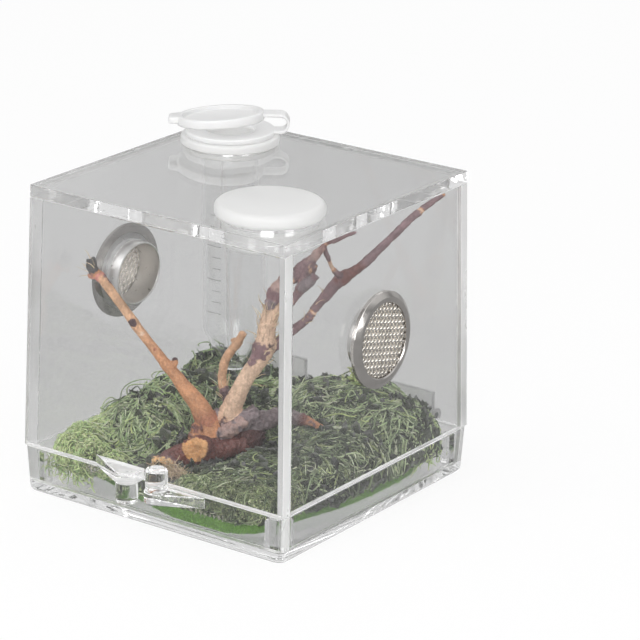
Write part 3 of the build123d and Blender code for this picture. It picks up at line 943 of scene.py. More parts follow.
limbs = {
    "left": [
        (-4.2, -9.8, 12.0, 3.3), (-5.6, -10.5, 19.5, 2.6), (-10.7, -12.7, 27.4, 1.75),
        (-14.8, -14.1, 32.6, 1.3), (-21.7, -16.8, 41.8, 1.15), (-27.4, -18.9, 50.2, 1.15),
        (-31.3, -20.2, 54.6, 1.2), (-32.6, -20.7, 56.8, 1.05),
    ],
    "main": [
        (-2.6, -7.6, 12.0, 3.2), (-1.8, -6.4, 19.5, 2.6), (1.1, -5.2, 27.8, 1.95), (4.2, -1.8, 36.8, 2.1),
        (5.4, -0.9, 46.0, 1.95), (7.8, 0.4, 53.6, 1.75), (12.0, 2.5, 58.2, 1.3), (15.2, 3.8, 62.0, 1.0),
        (17.0, 5.1, 65.0, 0.8), (21.8, 7.6, 68.6, 0.4),
    ],
    "right": [
        (3.8, -1.9, 35.2, 1.5), (6.6, 3.6, 39.6, 1.1), (9.9, 9.0, 43.5, 0.9), (11.9, 12.0, 48.1, 1.0),
        (15.9, 15.3, 53.4, 1.15), (20.7, 20.3, 58.6, 0.9), (27.9, 27.2, 68.6, 0.8), (30.8, 29.5, 72.0, 0.7),
        (34.2, 32.4, 75.0, 0.45),
    ],
    "cross": [
        (16.0, 15.1, 53.6, 0.8), (15.4, 11.4, 57.0, 0.55), (16.2, 8.0, 61.2, 0.5), (16.9, 5.3, 64.6, 0.45),
    ],
    "stub": [
        (-1.2, -5.4, 16.8, 1.4), (-3.6, -3.2, 19.4, 1.2), (-8.7, -0.1, 24.0, 1.0), (-9.4, 1.2, 29.6, 1.1),
        (-7.2, 2.1, 34.0, 1.05), (-4.9, 2.5, 38.2, 0.95),
    ],
    "ground": [
        (-1.0, -3.0, 14.6, 2.6), (2.2, 5.4, 16.4, 1.9), (5.4, 9.0, 16.0, 1.5), (9.4, 10.2, 15.2, 1.2),
        (15.4, 10.4, 14.4, 0.6),
    ],
    "foot": [
        (-8.4, -25.4, 9.6, 2.3), (-6.6, -19.0, 10.2, 3.0), (-4.2, -11.0, 11.2, 4.2), (-1.2, -3.6, 12.2, 3.8),
        (0.6, 1.6, 12.6, 2.6),
    ],
    "cut": [
        (-4.0, -10.0, 11.6, 2.9), (-3.4, -16.6, 13.2, 2.5),
    ],
}


def smooth_line(points, steps):
    """Catmull-Rom line through rows of numbers."""
    rows = np.array(points, float)
    rows = np.vstack([2 * rows[0] - rows[1], rows, 2 * rows[-1] - rows[-2]])
    result = []
    for a, b, c, d in zip(rows, rows[1:], rows[2:], rows[3:]):
        for t in np.linspace(0, 1, steps, endpoint=False):
            result.append(0.5 * (
                2 * b + (c - a) * t + (2 * a - 5 * b + 4 * c - d) * t ** 2 + (3 * b - a - 3 * c + d) * t ** 3))
    return np.array(result + [rows[-2]])


# Small growths that the frame's branch leaves out: parent limb, place along it, points and radii
growths = {
    "bud": ("left", 0.40, [(-13.8, -13.9, 31.6, 1.1), (-12.4, -13.5, 33.0, 0.9), (-12.4, -13.4, 34.4, 0.55)]),
    "nub": ("left", 0.80, [(-30.8, -20.2, 53.6, 0.7), (-32.6, -20.4, 53.0, 0.5), (-33.1, -20.5, 53.9, 0.35)]),
    "prong": ("left", 1.0, [(-32.0, -20.4, 55.8, 0.8), (-33.1, -20.8, 57.7, 0.35)]),
    "prong_two": ("left", 1.0, [(-31.6, -20.4, 56.2, 0.75), (-31.7, -20.4, 58.4, 0.35)]),
    "knob": ("main", 0.68, [(12.4, 1.0, 53.4, 0.9), (15.0, 0.7, 55.4, 1.0), (17.9, 0.4, 58.4, 0.75)]),
    "spur": ("main", 0.62, [(14.6, 1.8, 58.0, 0.5), (17.7, 1.2, 60.8, 0.28)]),
    "wedge": ("main", 0.64, [
        (10.4, -0.2, 48.6, 0.5), (12.4, 1.0, 52.6, 0.9), (13.6, 2.2, 56.0, 1.3), (15.2, 3.2, 60.2, 1.2),
    ]),
    "spike": ("main", 0.57, [(7.6, -0.2, 52.4, 1.3), (8.4, 0.2, 56.6, 0.9), (8.9, 0.6, 60.4, 0.3)]),
    "tip": ("main", 0.97, [(19.0, 6.0, 66.2, 0.65), (21.4, 7.4, 67.6, 0.45), (24.0, 8.9, 68.8, 0.3)]),
    "stub_nub": ("stub", 0.9, [(-6.6, 2.2, 34.6, 0.85), (-7.6, 1.8, 36.2, 0.6)]),
    "slab": ("ground", 0.0, [
        (-2.6, -9.0, 14.4, 2.0), (-0.2, -7.0, 17.0, 2.2), (1.8, -4.2, 19.2, 1.9), (2.6, -2.4, 21.2, 1.0),
    ]),
    "flake": ("ground", 0.0, [(-1.2, -10.2, 15.6, 1.3), (1.0, -8.6, 17.2, 1.4), (2.4, -6.6, 18.9, 0.9)]),
    "web": ("ground", 0.0, [(-4.2, -8.4, 16.4, 2.0), (-3.9, -7.6, 20.4, 1.0)]),
    "heel": ("left", 0.03, [(-6.2, -12.4, 13.0, 2.4), (-5.9, -11.4, 17.2, 2.2)]),
    "crust": ("foot", 0.5, [(-2.0, -12.4, 12.0, 1.8), (0.6, -9.8, 12.2, 2.0), (3.0, -6.6, 12.8, 1.8)]),
    "splinter": ("foot", 0.02, [(-6.6, -22.6, 10.2, 2.2), (-5.2, -26.0, 10.2, 1.8)]),
    "foot_end": ("foot", 0.02, [(-8.0, -24.0, 9.9, 2.2), (-7.4, -26.4, 10.8, 1.5)]),
}
# Swellings: limb, share of its length, added girth, spread
swellings = [
    ("left", 0.40, 0.10, 0.03), ("left", 0.585, 0.10, 0.015), ("left", 0.80, 0.12, 0.03),
    ("main", 0.34, 0.20, 0.025), ("main", 0.52, 0.10, 0.03), ("main", 0.70, 0.20, 0.05),
    ("right", 0.28, 0.18, 0.02), ("right", 0.40, 0.15, 0.05), ("right", 0.50, 0.40, 0.035),
    ("right", 0.62, 0.12, 0.02), ("right", 0.80, 0.15, 0.02), ("stub", 0.40, 0.12, 0.05),
]


def uneven(name, line, seed):
    """Natural growth: the middle of a limb drifts a little and its girth varies."""
    grown = line.copy()
    for i, row in enumerate(grown):
        share = i / (len(line) - 1)
        ease = min(1.0, share * 6, (1 - share) * 8)
        for k in range(3):
            row[k] += 0.35 * ease * hill((i * 0.11, seed * 7.3, k * 3.1))
        girth = 1 + 0.08 * hill((i * 0.23, seed * 3.7, 9.0))
        for limb, place, more, spread in swellings:
            if limb == name:
                girth += more * exp(-((share - place) / spread) ** 2)
        row[3] *= girth
    return grown


def make_branch():
    """Limbs joined into one skin, then carved with bark, scars and splits."""
    lines = {name: uneven(name, smooth_line(points, 14), k) for k, (name, points) in enumerate(limbs.items())}
    tubes = []
    for line in list(lines.values()) + [smooth_line(points, 6) for _, _, points in growths.values()]:
        tubes.append(many_tubes("limb", line[None, :, :3] * MM, np.maximum(line[None, :, 3], 0.28) * MM, 16))
    skin = join("twig", tubes)
    apply(skin, "REMESH", mode="VOXEL", voxel_size=0.28 * MM)
    apply(skin, "SMOOTH", factor=0.5, iterations=2)
    carve_branch(skin, lines)
    dress(shade(skin, 180), wood_mat, "tray", "bark", "branch")
    make_fibres(lines)


# Torn fibres: limb, stretch of its length and count. Straw splinters: place, spread and count
torn = (("main", 0.30, 0.50, 54), ("main", 0.1, 0.3, 12), ("stub", 0.30, 0.42, 20), ("left", 0.86, 0.97, 8),
        ("right", 0.05, 0.5, 10))
straw_at = np.array([-3.4, -26.6, 10.8])
straw_spread = np.array([2.4, 1.0, 0.8])
straw_count = 300


def make_fibres(lines):
    """Torn fibres along the peeled wood and straw splinters at the broken foot."""
    starts = []
    headings = []
    for name, low, high, count in torn:
        line = lines[name]
        for _ in range(count):
            at = int(uniform(low, high) * (len(line) - 2))
            side = unit(gauss(0, 1, 3))
            starts.append(line[at, :3] + side * line[at, 3] * 0.98)
            headings.append(unit(unit(line[at + 1, :3] - line[at, :3]) * uniform(0.6, 1.4) + side * 0.6))
    for _ in range(straw_count):
        starts.append(straw_at + gauss(0, 1, 3) * straw_spread)
        headings.append(unit(np.array([0.55, -0.8, 0.05]) + gauss(0, 0.35, 3)))
    count = len(starts)
    paths = grow(np.array(starts), np.array(headings), (1.2, 4.8), 7, 0.2, 0.02, 0.1)
    paths = keep_inside(paths, moss_reach, ground + 3.2)
    radii = np.tile(0.125 * np.linspace(1, 0.3, 7), (count, 1)) * uniform(0.7, 1.4, (count, 1))
    made = many_tubes("wood_fibres", paths * MM, radii * MM, 4)
    tint = np.array([0.74, 0.58, 0.38]) * uniform(0.7, 1.15, (count, 1))
    set_colours(made, np.repeat(tint, 7 * 4, axis=0))
    dress(made, moss_mat, "tray", "bark")


bark_dark = (0.085, 0.045, 0.05)
bark_plum = (0.23, 0.135, 0.145)
bark_grey = (0.24, 0.19, 0.20)
bark_pink = (0.42, 0.29, 0.26)
bark_red = (0.17, 0.055, 0.045)
heel_red = (0.42, 0.17, 0.10)
scorched = (0.66, 0.27, 0.22)
wood_orange = (0.60, 0.29, 0.145)
wood_tan = (0.68, 0.41, 0.25)
wood_pale = (0.77, 0.54, 0.39)
char_black = (0.10, 0.095, 0.095)
cut_face = (0.72, 0.39, 0.17)
foot_pale = (0.92, 0.58, 0.30)

# Colours along each limb: share of its length, colour, how much is bark
tones = {
    "left": [(0.0, bark_red, 0.8), (0.05, heel_red, 0.2), (0.12, heel_red, 0.0), (0.2, wood_orange, 0.0),
             (0.45, wood_orange, 0.0), (0.60, wood_tan, 0.0), (0.77, wood_tan, 0.0), (0.81, scorched, 0.0),
             (0.855, scorched, 0.1), (0.875, char_black, 1.0), (1.0, char_black, 1.0)],
    "main": [(0.0, bark_dark, 1.0), (0.085, bark_dark, 1.0), (0.10, wood_pale, 0.0), (0.6, wood_pale, 0.0),
             (0.63, bark_plum, 0.8), (0.70, bark_plum, 0.9), (0.80, bark_pink, 0.9), (0.90, bark_red, 0.6),
             (1.0, bark_plum, 1.0)],
    "right": [(0.0, bark_plum, 1.0), (0.265, bark_plum, 1.0), (0.275, wood_pale, 0.0), (0.295, wood_pale, 0.0),
              (0.305, bark_plum, 1.0), (0.46, bark_plum, 1.0), (0.50, bark_red, 1.0), (0.58, bark_red, 1.0),
              (0.615, bark_plum, 1.0), (0.79, bark_plum, 1.0), (0.80, wood_pale, 0.0), (0.83, wood_pale, 0.1),
              (0.84, bark_plum, 1.0), (0.97, bark_plum, 0.8), (1.0, wood_orange, 0.2)],
    "cross": [(0.0, bark_dark, 1.0), (0.25, bark_plum, 1.0), (0.34, wood_pale, 0.0), (0.52, wood_pale, 0.0),
              (0.60, bark_plum, 1.0), (1.0, bark_plum, 0.8)],
    "stub": [(0.0, bark_dark, 1.0), (0.33, bark_dark, 1.0), (0.36, bark_plum, 1.0), (0.40, wood_tan, 0.0),
             (0.6, wood_tan, 0.0), (1.0, wood_tan, 0.0)],
    "ground": [(0.0, bark_grey, 1.0), (0.55, bark_grey, 1.0), (0.72, bark_red, 1.0), (0.82, wood_orange, 0.4),
               (1.0, wood_tan, 0.0)],
    "foot": [(0.0, bark_plum, 1.0), (0.2, bark_red, 1.0), (0.6, bark_red, 1.0), (1.0, bark_dark, 1.0)],
    "cut": [(0.0, bark_dark, 1.0), (1.0, bark_red, 1.0)],
}
# Marks on the bark and wood: centre, radius, colour, how much it stands out of the limb
marks = [
    ((-21.5, -17.9, 42.7), 0.95, bark_dark, 0.35), ((-19.4, -17.0, 40.0), 0.5, wood_pale, 0.05),
    ((-12.4, -13.4, 34.4), 0.9, bark_dark, 0.0), ((-16.6, -15.8, 36.2), 0.4, heel_red, 0.0),
    ((-29.4, -19.4, 53.4), 0.9, bark_plum, 0.05), ((-28.2, -18.6, 52.4), 0.8, bark_plum, 0.05),
    ((4.2, -3.4, 37.0), 2.2, bark_plum, 0.30), ((3.2, -4.4, 34.2), 1.2, bark_plum, 0.25),
    ((5.6, -1.6, 38.4), 1.3, bark_dark, 0.20), ((0.4, -6.6, 31.0), 0.6, bark_dark, 0.1),
    ((-0.6, -6.8, 28.6), 0.5, bark_dark, 0.1), ((-1.6, -7.2, 25.4), 0.5, bark_dark, 0.1),
    ((7.2, -1.6, 51.6), 2.1, bark_plum, 0.30), ((6.4, -2.2, 49.4), 1.2, bark_grey, 0.25),
    ((8.0, -0.8, 54.4), 1.8, bark_pink, 0.2), ((8.6, 0.0, 57.6), 1.7, bark_red, 0.1),
    ((16.6, 0.5, 57.0), 1.6, bark_grey, 0.2), ((14.6, 0.7, 55.2), 1.5, bark_grey, 0.2),
    ((0.6, -9.4, 17.0), 1.9, bark_pink, 0.15), ((2.2, -7.6, 19.0), 1.2, bark_pink, 0.1),
    ((6.0, 4.6, 14.6), 1.5, wood_tan, 0.0), ((4.2, -1.4, 14.8), 1.3, wood_tan, 0.0),
    ((-7.4, -26.4, 10.8), 2.4, foot_pale, 0.0), ((-5.0, -26.4, 10.0), 2.2, foot_pale, 0.0),
    ((-9.0, -23.2, 10.4), 1.5, foot_pale, 0.0), ((-6.0, -20.6, 12.0), 1.8, bark_red, 0.0),
]


def tone_at(name, share):
    stops = tones[name]
    for (s0, c0, b0), (s1, c1, b1) in zip(stops, stops[1:]):
        if share <= s1:
            t = (share - s0) / (s1 - s0)
            t = t * t * (3 - 2 * t)
            return Vector(c0).lerp(Vector(c1), t), b0 + (b1 - b0) * t
    return Vector(stops[-1][1]), stops[-1][2]


def set_colours(obj, colours):
    kept = obj.data.color_attributes.new("shade", "FLOAT_COLOR", "POINT")
    rgba = np.ones((len(colours), 4), np.float32)
    rgba[:, :3] = colours
    kept.data.foreach_set("color", rgba.ravel())


def owners_of(co, lines):
    """The limb that each point belongs to, and its share of that limb's length."""
    best = np.full(len(co), 1e9)
    owner = np.full(len(co), "", object)
    share = np.zeros(len(co))
    claims = [(row, name, at) for name, at, points in growths.values() for row in smooth_line(points, 6)]
    for name, line in lines.items():
        claims += [(row, name, i / (len(line) - 1)) for i, row in enumerate(line)]
    for row, name, at in claims:
        distance = norm(co - row[:3], axis=1) - row[3]
        closer = distance < best
        best[closer] = distance[closer]
        owner[closer] = name
        share[closer] = at
    return owner, share


def carve_branch(skin, lines):
    """Colours the skin and raises its bark, scars and splits."""
    mesh = skin.data
    co = rows_of(mesh.vertices, "co").astype(float) / MM
    normals = rows_of(mesh.vertices, "normal")
    owner, share = owners_of(co, lines)
    count = len(co)
    colours = np.zeros((count, 3))
    gloss = np.zeros(count, np.float32)
    shift, grain, warp, girth = np.zeros((4, count))
    for i, name in enumerate(owner):
        p = Vector(co[i])
        low = name in ("foot", "cut", "ground")
        wander = 0.03 * hill(p * 0.55) + 0.02 * hill(p * 1.7)
        colour, bark = tone_at(name, min(max(share[i] + wander, 0), 1))
        covered = min(max((bark + 0.55 * hill(p * 0.9 + Vector((9, 3, 1))) - 0.35) * 4, 0), 1)
        if 0.05 < bark < 0.95:
            bare = Vector(wood_tan if name in ("main", "stub", "cut") else wood_orange)
            colour = bare.lerp(colour if bark > 0.5 else Vector(bark_plum), covered)
        split = abs(hill(Vector((p.x * 1.1, p.y * 1.1, p.z * 0.10)) + Vector((3, 3, 3))))
        if name == "main" and split < 0.05 and 0.36 < share[i] < 0.55:
            colour = colour * 0.55
        streak = hill((p.x * 2.6, p.y * 2.6, p.z * 0.35))
        rough = hill(p * 1.9)
        grain[i] = 1.0 + 0.22 * streak + 0.18 * hill(p * 3.1 + Vector((2, 8, 5)))
        warp[i] = 0.45 * hill(p * 1.3 + Vector((5, 1, 7)))
        colours[i] = [max(c, 0.01) for c in colour * grain[i]]
        gloss[i] = 0.75 * covered if low else 0.35 * covered + 0.25
        ridge = abs(hill((p.x * 1.3, p.y * 1.3, p.z * 0.5))) ** 0.7
        shift[i] = covered * (0.2 + 0.45 * (0.5 - ridge) + 0.16 * rough) + 0.10 * streak
        shift[i] += 0.12 * hill(p * 0.45 + Vector((4, 4, 1)))
        if low:
            shift[i] += 0.6 * hill(p * 0.5) + 0.4 * hill(p * 1.1) + 0.2 * rough
        line = lines[name]
        girth[i] = line[int(share[i] * (len(line) - 1))][3]
    for centre, radius, tint, more in marks:
        part = np.clip((1.15 - norm(co - centre, axis=1) / radius - warp) * 6, 0, 1)
        colours += (grain[:, None] * np.array(tint) - colours) * part[:, None]
        shift += more * part
    co += normals * (shift * (0.35 + 0.65 * np.minimum(girth, 2.5) / 2.5))[:, None]
    paint_cuts(co, normals, colours, gloss)
    mesh.vertices.foreach_set("co", (co * MM).astype(np.float32).ravel())
    mesh.update()
    set_colours(skin, colours)
    mesh.attributes.new("gloss", "FLOAT", "POINT").data.foreach_set("value", gloss)


# Sawn and broken faces: middle, a point before it along the wood, reach and colour
cut_ends = (
    ((-3.4, -16.6, 13.2), (-4.0, -10.0, 11.6), 3.4, cut_face),
    ((-8.4, -25.4, 9.6), (-6.6, -19.0, 10.2), 3.4, foot_pale),
    ((-5.2, -26.0, 10.2), (-6.6, -22.6, 10.2), 3.0, foot_pale),
)


def paint_cuts(co, normals, colours, gloss):
    for end, before, reach, paint in cut_ends:
        along = np.array(end) - np.array(before)
        along = along / norm(along)
        offset = co - end
        near = (norm(offset, axis=1) < reach) & ((offset @ along) > -0.9) & ((normals @ along) > 0.25)
        spots = np.array([hill(Vector(p) * 1.2) for p in co[near]])
        colours[near] = np.array(paint)[None, :] * (1 + 0.25 * spots[:, None])
        gloss[near] = 0.1


# Moss and mat

mat_points = [
    (-36.0, -20.0), (-18.0, -28.8), (-6.0, -32.6), (6.0, -36.0), (20.0, -35.8), (27.4, -30.6), (28.6, -21.0),
    (32.6, -4.0), (33.6, 11.0), (32.0, 26.0), (22.0, 34.4), (0.0, 35.8), (-24.0, 35.2), (-34.4, 27.0),
    (-36.2, 4.0),
]
mat_reach = 35.6
moss_reach = 35.4
moss_front = -35.9
tube_clear = 8.3
tube_spot = np.array([grommet_at.x, grommet_at.y]) / MM


def mat_line():
    """Closed outline of the mat in plan."""
    return smooth_line(mat_points[-2:] + mat_points + mat_points[:2], 10)[20:-20]


def make_mat():
    """Felt mat with a soft, hairy edge."""
    line = mat_line()
    low = ground + 0.03
    high = felt_top - 0.1
    limit = mat_reach - 0.15
    rings = []
    for z, inset in ((low, 0.4), (low + 0.3, 0.1), (low + 1.0, 0.0),
                     (high - 0.9, 0.05), (high - 0.3, 0.3), (high, 0.9)):
        ring = []
        for x, y in line:
            scale = 1 - (inset + 0.35 * hill((x * 0.9, y * 0.9, z * 1.5))) / 36
            ring.append([max(-limit, min(limit, part * scale)) * MM for part in (x, y)] + [z * MM])
        rings.append(ring)
    dress(shade(tidy(stack("felt_mat", rings)), 60), felt_mat, "tray", "green_felt", "moss_mat")
    make_hairs(line, low, high)


def make_hairs(line, low, high):
    count = 5200
    picks = rng.integers(0, len(line), count)
    along = line[(picks + 1) % len(line)] - line[picks]
    base = line[picks] + along * rng.random((count, 1))
    outward = np.stack([along[:, 1], -along[:, 0]], axis=1)
    outward /= norm(outward, axis=1, keepdims=True) + 1e-9
    z = uniform(low + 0.3, high, count)
    heading = np.column_stack([outward + gauss(0, 0.7, (count, 2)), gauss(0.1, 0.7, count)])
    heading /= norm(heading, axis=1, keepdims=True)
    start = np.column_stack([base - outward * 0.5, z])
    length = uniform(0.6, 1.5, count)
    steps = np.linspace(0, 1, 4)
    paths = start[:, None, :] + heading[:, None, :] * (length[:, None] * steps)[:, :, None]
    paths[:, :, 2] -= 0.25 * steps[None, :] ** 2
    paths = keep_inside(paths, mat_reach, low + 0.05)
    hairs = many_tubes("felt_hairs", paths * MM, np.tile(0.075 * (1 - 0.75 * steps), (count, 1)) * MM, 4)
    tint = np.array([0.10, 0.27, 0.02]) + rng.random((count, 1)) * np.array([0.16, 0.26, 0.06])
    set_colours(hairs, np.repeat(tint, 4 * 4, axis=0))
    dress(hairs, moss_mat, "tray", "green_felt")


def keep_inside(paths, reach=moss_reach, low=ground + 0.4):
    """Holds strands inside the walls, above the floor and clear of the tube."""
    paths[..., 0] = np.clip(paths[..., 0], -reach, reach)
    paths[..., 1] = np.clip(paths[..., 1], max(moss_front, -reach), reach)
    paths[..., 2] = np.maximum(paths[..., 2], low)
    away = paths[..., :2] - tube_spot
    distance = norm(away, axis=-1)
    close = (distance < tube_clear) & (paths[..., 2] > 16.5)
    push = np.where(close, tube_clear / np.maximum(distance, 0.01), 1.0)
    paths[..., :2] = tube_spot + away * push[..., None]
    return paths


def surface_samples(name, count, least_up=-2.0):
    """Random points on a frame node with their normals, in millimetres."""
    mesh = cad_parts[name].data
    mesh.calc_loop_triangles()
    corners = rows_of(mesh.vertices, "co").astype(float) / MM
    faces = rows_of(mesh.loop_triangles, "vertices", np.int32)
    a, b, c = (corners[faces[:, k]] for k in range(3))
    normals = np.cross(b - a, c - a)
    area = norm(normals, axis=1)
    normals /= area[:, None] + 1e-12
    weight = area * (normals[:, 2] > least_up)
    picks = rng.choice(len(weight), count, p=weight / weight.sum())
    s, t = rng.random((2, count))
    flip = s + t > 1
    s = np.where(flip, 1 - s, s)
    t = np.where(flip, 1 - t, t)
    return a[picks] + (b - a)[picks] * s[:, None] + (c - a)[picks] * t[:, None], normals[picks]


def grow(start, heading, lengths, points, curl, droop, wiggle):
    """Curling strands, all with equally many points."""
    count = len(start)
    length = uniform(*lengths, count)
    curl = gauss(0, curl, count)
    axis = unit(np.cross(heading, gauss(0, 1, (count, 3))))
    step = (length / (points - 1))[:, None]
    paths = [start]
    for k in range(points - 1):
        turn = (curl * (0.5 + k / points))[:, None] * step
        heading = unit(heading + np.cross(axis, heading) * turn + gauss(0, wiggle, (count, 3)))
        heading[:, 2] -= droop * k / points
        heading = unit(heading)
        paths.append(paths[-1] + heading * step)
    return np.stack(paths, axis=1)


# Moss colours with their shares
moss_palette = [
    ((0.035, 0.05, 0.025), 0.18), ((0.09, 0.12, 0.06), 0.22), ((0.19, 0.24, 0.13), 0.22),
    ((0.36, 0.42, 0.25), 0.16), ((0.60, 0.64, 0.46), 0.09), ((0.10, 0.135, 0.05), 0.06),
    ((0.30, 0.35, 0.15), 0.07),
]
tuft_palette = [
    ((0.19, 0.24, 0.11), 0.3), ((0.29, 0.34, 0.17), 0.3), ((0.44, 0.48, 0.28), 0.2), ((0.11, 0.15, 0.07), 0.2),
]
pale_palette = [((0.80, 0.78, 0.60), 0.6), ((0.92, 0.92, 0.82), 0.4)]
sprig_palette = [((0.36, 0.42, 0.20), 0.5), ((0.50, 0.55, 0.30), 0.5)]
darkest_moss = 0.008
palest_moss = 0.60


def clump_noise(spots, scale, seed):
    """Slow variation over the plan, between about minus one and one."""
    return np.array([hill((x * scale, y * scale, seed)) for x, y in spots[:, :2]]) * 1.8


def strand_colours(palette, roots, points, sides, tip=0.35):
    """Colours of strands: paler toward their tips, on the left and at the back; painted shade by the branch."""
    tones = np.array([colour for colour, _ in palette])
    weight = np.array([part for _, part in palette])
    count = len(roots)
    tint = tones[rng.choice(len(tones), count, p=weight / weight.sum())] * uniform(0.8, 1.2, (count, 1))
    left = np.clip((4 - roots[:, 0] - 0.3 * roots[:, 1]) / 30, 0, 1)
    back = np.clip(roots[:, 1] / 28, 0, 1) * (1 - left)
    pale = (0.94 + 2.3 * left + 1.3 * back) * (1 + 0.45 * clump_noise(roots, 0.12, 3.0))
    pale *= 1 + 0.35 * clump_noise(roots, 0.42, 6.0)
    # Painted shade: strands rooted near the branch's base are darkened as if in its shadow
    pale *= 0.45 + 0.55 * np.clip((from_bare_line(roots[:, :2]) - 3.5) / 9, 0, 1)
    tint = np.maximum(tint * pale[:, None], darkest_moss)
    tint *= np.minimum(1.0, palest_moss / tint.max(axis=1, keepdims=True))
    along = np.linspace(0.45, 1.05 + tip, points)
    return np.repeat((tint[:, None, :] * along[None, :, None]).reshape(-1, 3), sides, axis=0)


# Plan points along the branch's base, which the moss leaves bare and beside which it gets painted shade
bare_line = np.array([(-3.6, -29.0), (-7.5, -24.5), (-5.5, -18.0), (-4.2, -11.0), (-1.2, -3.6), (2.0, -5.0)])
bare_near = 4.0
bare_far = 10.0
moss_sink = 1.3
field_cell = 0.7
field_count = 106


def from_bare_line(spots):
    steps = np.vstack([np.linspace(a, b, 8) for a, b in zip(bare_line, bare_line[1:])])
    return norm(spots[..., None, :] - steps, axis=-1).min(axis=-1)


def moss_heights():
    """Height of the moss over a grid of plan points, eased at its edges, in millimetres."""
    trees = []
    for name in ("moss_bed", "moss_tufts", "moss_mat"):
        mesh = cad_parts[name].data
        faces = [p.vertices[:] for p in mesh.polygons]
        trees.append(BVHTree.FromPolygons([v.co.copy() for v in mesh.vertices], faces))
    field = np.full((field_count, field_count), ground)
    down = Vector((0, 0, -1))
    for i, j in np.ndindex(field.shape):
        x, y = ((k - field_count / 2) * field_cell * MM for k in (i, j))
        spot = Vector((x, y, lid_low))
        for tree in trees:
            hit = tree.ray_cast(spot, down)[0]
            if hit is not None:
                field[i, j] = max(field[i, j], hit.z / MM)
    for ease in (np.max, np.mean, np.mean):
        wide = np.pad(field, 1, mode="edge")
        field = ease([wide[a:a + field_count, b:b + field_count] for a in range(3) for b in range(3)], axis=0)
    return field - moss_sink


def field_at(field, spots):
    """Field values between its cells."""
    place = np.clip(spots / field_cell + field_count / 2, 0, field_count - 1.001)
    i, j = place[..., 0].astype(int), place[..., 1].astype(int)
    s, t = place[..., 0] - i, place[..., 1] - j
    return ((1 - s) * (1 - t) * field[i, j] + s * (1 - t) * field[i + 1, j]
            + (1 - s) * t * field[i, j + 1] + s * t * field[i + 1, j + 1])


# Heap of moss in the front left corner: x, y and reach in plan
corner_heap = (-33.0, -31.0, 9.5)
edge_spill = 0.9


def settle(paths, field, allowance):
    """Draws strands in toward their roots until they fit the outline, and holds them close over the moss."""
    line = mat_line()
    ahead = np.roll(line, -1, axis=0) - line
    outward = unit(np.column_stack([ahead[:, 1], -ahead[:, 0]]))
    flat = paths.reshape(-1, 3)
    beyond = np.zeros(len(flat))
    for start in range(0, len(flat), 20000):
        rows = flat[start:start + 20000]
        gap = rows[:, None, :2] - line[None]
        near = np.argmin((gap ** 2).sum(axis=2), axis=1)
        beyond[start:start + 20000] = (gap[np.arange(len(rows)), near] * outward[near]).sum(axis=1)
    heap = norm(flat[:, :2] - np.array(corner_heap[:2]), axis=1) < corner_heap[2]
    over = np.where(heap, 0.0, beyond - edge_spill)
    over = np.maximum(over, np.abs(flat[:, :2]).max(axis=1) - moss_reach + 0.2).reshape(paths.shape[:2])
    reach = norm(paths[..., :2] - paths[:, :1, :2], axis=2)
    fit = np.where(over > 0, 1 - over / np.maximum(reach, 0.3), 1.0).min(axis=1)
    fit = np.clip(fit, 0.1, 1.0)[:, None]
    root = paths[:, :1].copy()
    paths[..., :2] = root[..., :2] + (paths[..., :2] - root[..., :2]) * fit[..., None]
    paths[..., 2] = root[..., 2] + (paths[..., 2] - root[..., 2]) * (0.3 + 0.7 * fit)
    clear = (from_bare_line(paths[..., :2]) - bare_near) / (bare_far - bare_near)
    room = allowance * np.clip(clear, 0.12, 1.0)
    above = paths[..., 2] - field_at(field, paths[..., :2])
    paths[..., 2] = np.where(above > 0, paths[..., 2] - above + room * np.tanh(above / room), paths[..., 2])
    lowest = np.where(heap.reshape(paths.shape[:2]), -np.inf, felt_top)
    paths[..., 2] = np.maximum(paths[..., 2], lowest)
    return keep_inside(paths)


def clear_of_branch(paths, more=0.35):
    """Strands that keep off the branch."""
    keep = np.ones(len(paths), bool)
    for points in list(limbs.values()) + [points for _, _, points in growths.values()]:
        for row in smooth_line(points, 6):
            keep &= norm(paths - row[:3], axis=2).min(axis=1) > row[3] + more
    return keep


strand_share = 1900


def strands_of(name, paths, thick, palette, slot, tip=0.35, parts=()):
    """Moss pieces made of strands, in lots small enough to keep whole."""
    paths = paths[clear_of_branch(paths)]
    count, points = paths.shape[:2]
    along = np.linspace(0, 1, points)
    shape = 0.55 + 0.45 * np.sin(pi * np.clip(along * 0.85 + 0.15, 0, 1))
    shape[-1] *= 0.5
    radii = uniform(*thick, count)[:, None] * shape[None, :]
    lot = int(strand_share * 12 / points)
    for k, start in enumerate(range(0, count, lot)):
        part = slice(start, start + lot)
        made = many_tubes(name + "_" + str(k + 1), paths[part] * MM, radii[part] * MM, 4)
        set_colours(made, strand_colours(palette, paths[part, 0], points, 4, tip))
        dress(made, moss_mat, "tray", slot, *(parts if k == 0 else ()))
    return paths


def make_moss_bed():
    """Dark ground of the moss, which the strands grow from: its near-black colour is partly the moss's own and
    partly painted shade for the gaps between strands.
    """
    bed = add_object("moss_ground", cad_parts["moss_bed"].data.copy())
    bed.data.materials.clear()
    apply(bed, "REMESH", mode="VOXEL", voxel_size=0.8 * MM)
    colours = []
    for v in bed.data.vertices:
        p = v.co / MM
        lump = hill(p * 0.22) + 0.6 * hill(p * 0.6) + 0.35 * hill(p * 1.4)
        v.co -= v.normal * MM * (1.6 + 0.8 * lump)
        v.co.x = max(-moss_reach * MM, min(moss_reach * MM, v.co.x))
        v.co.y = max(moss_front * MM, min(moss_reach * MM, v.co.y))
        # Near-black colour, partly the moss's own and partly painted shade deep between the strands
        colours.append((0.6 + 0.55 * lump) * np.array([0.040, 0.052, 0.025]))
    bed.data.update()
    set_colours(bed, np.maximum(np.array(colours), 0.012))
    dress(shade(bed, 180), moss_mat, "tray", "dried_moss", "moss_bed")


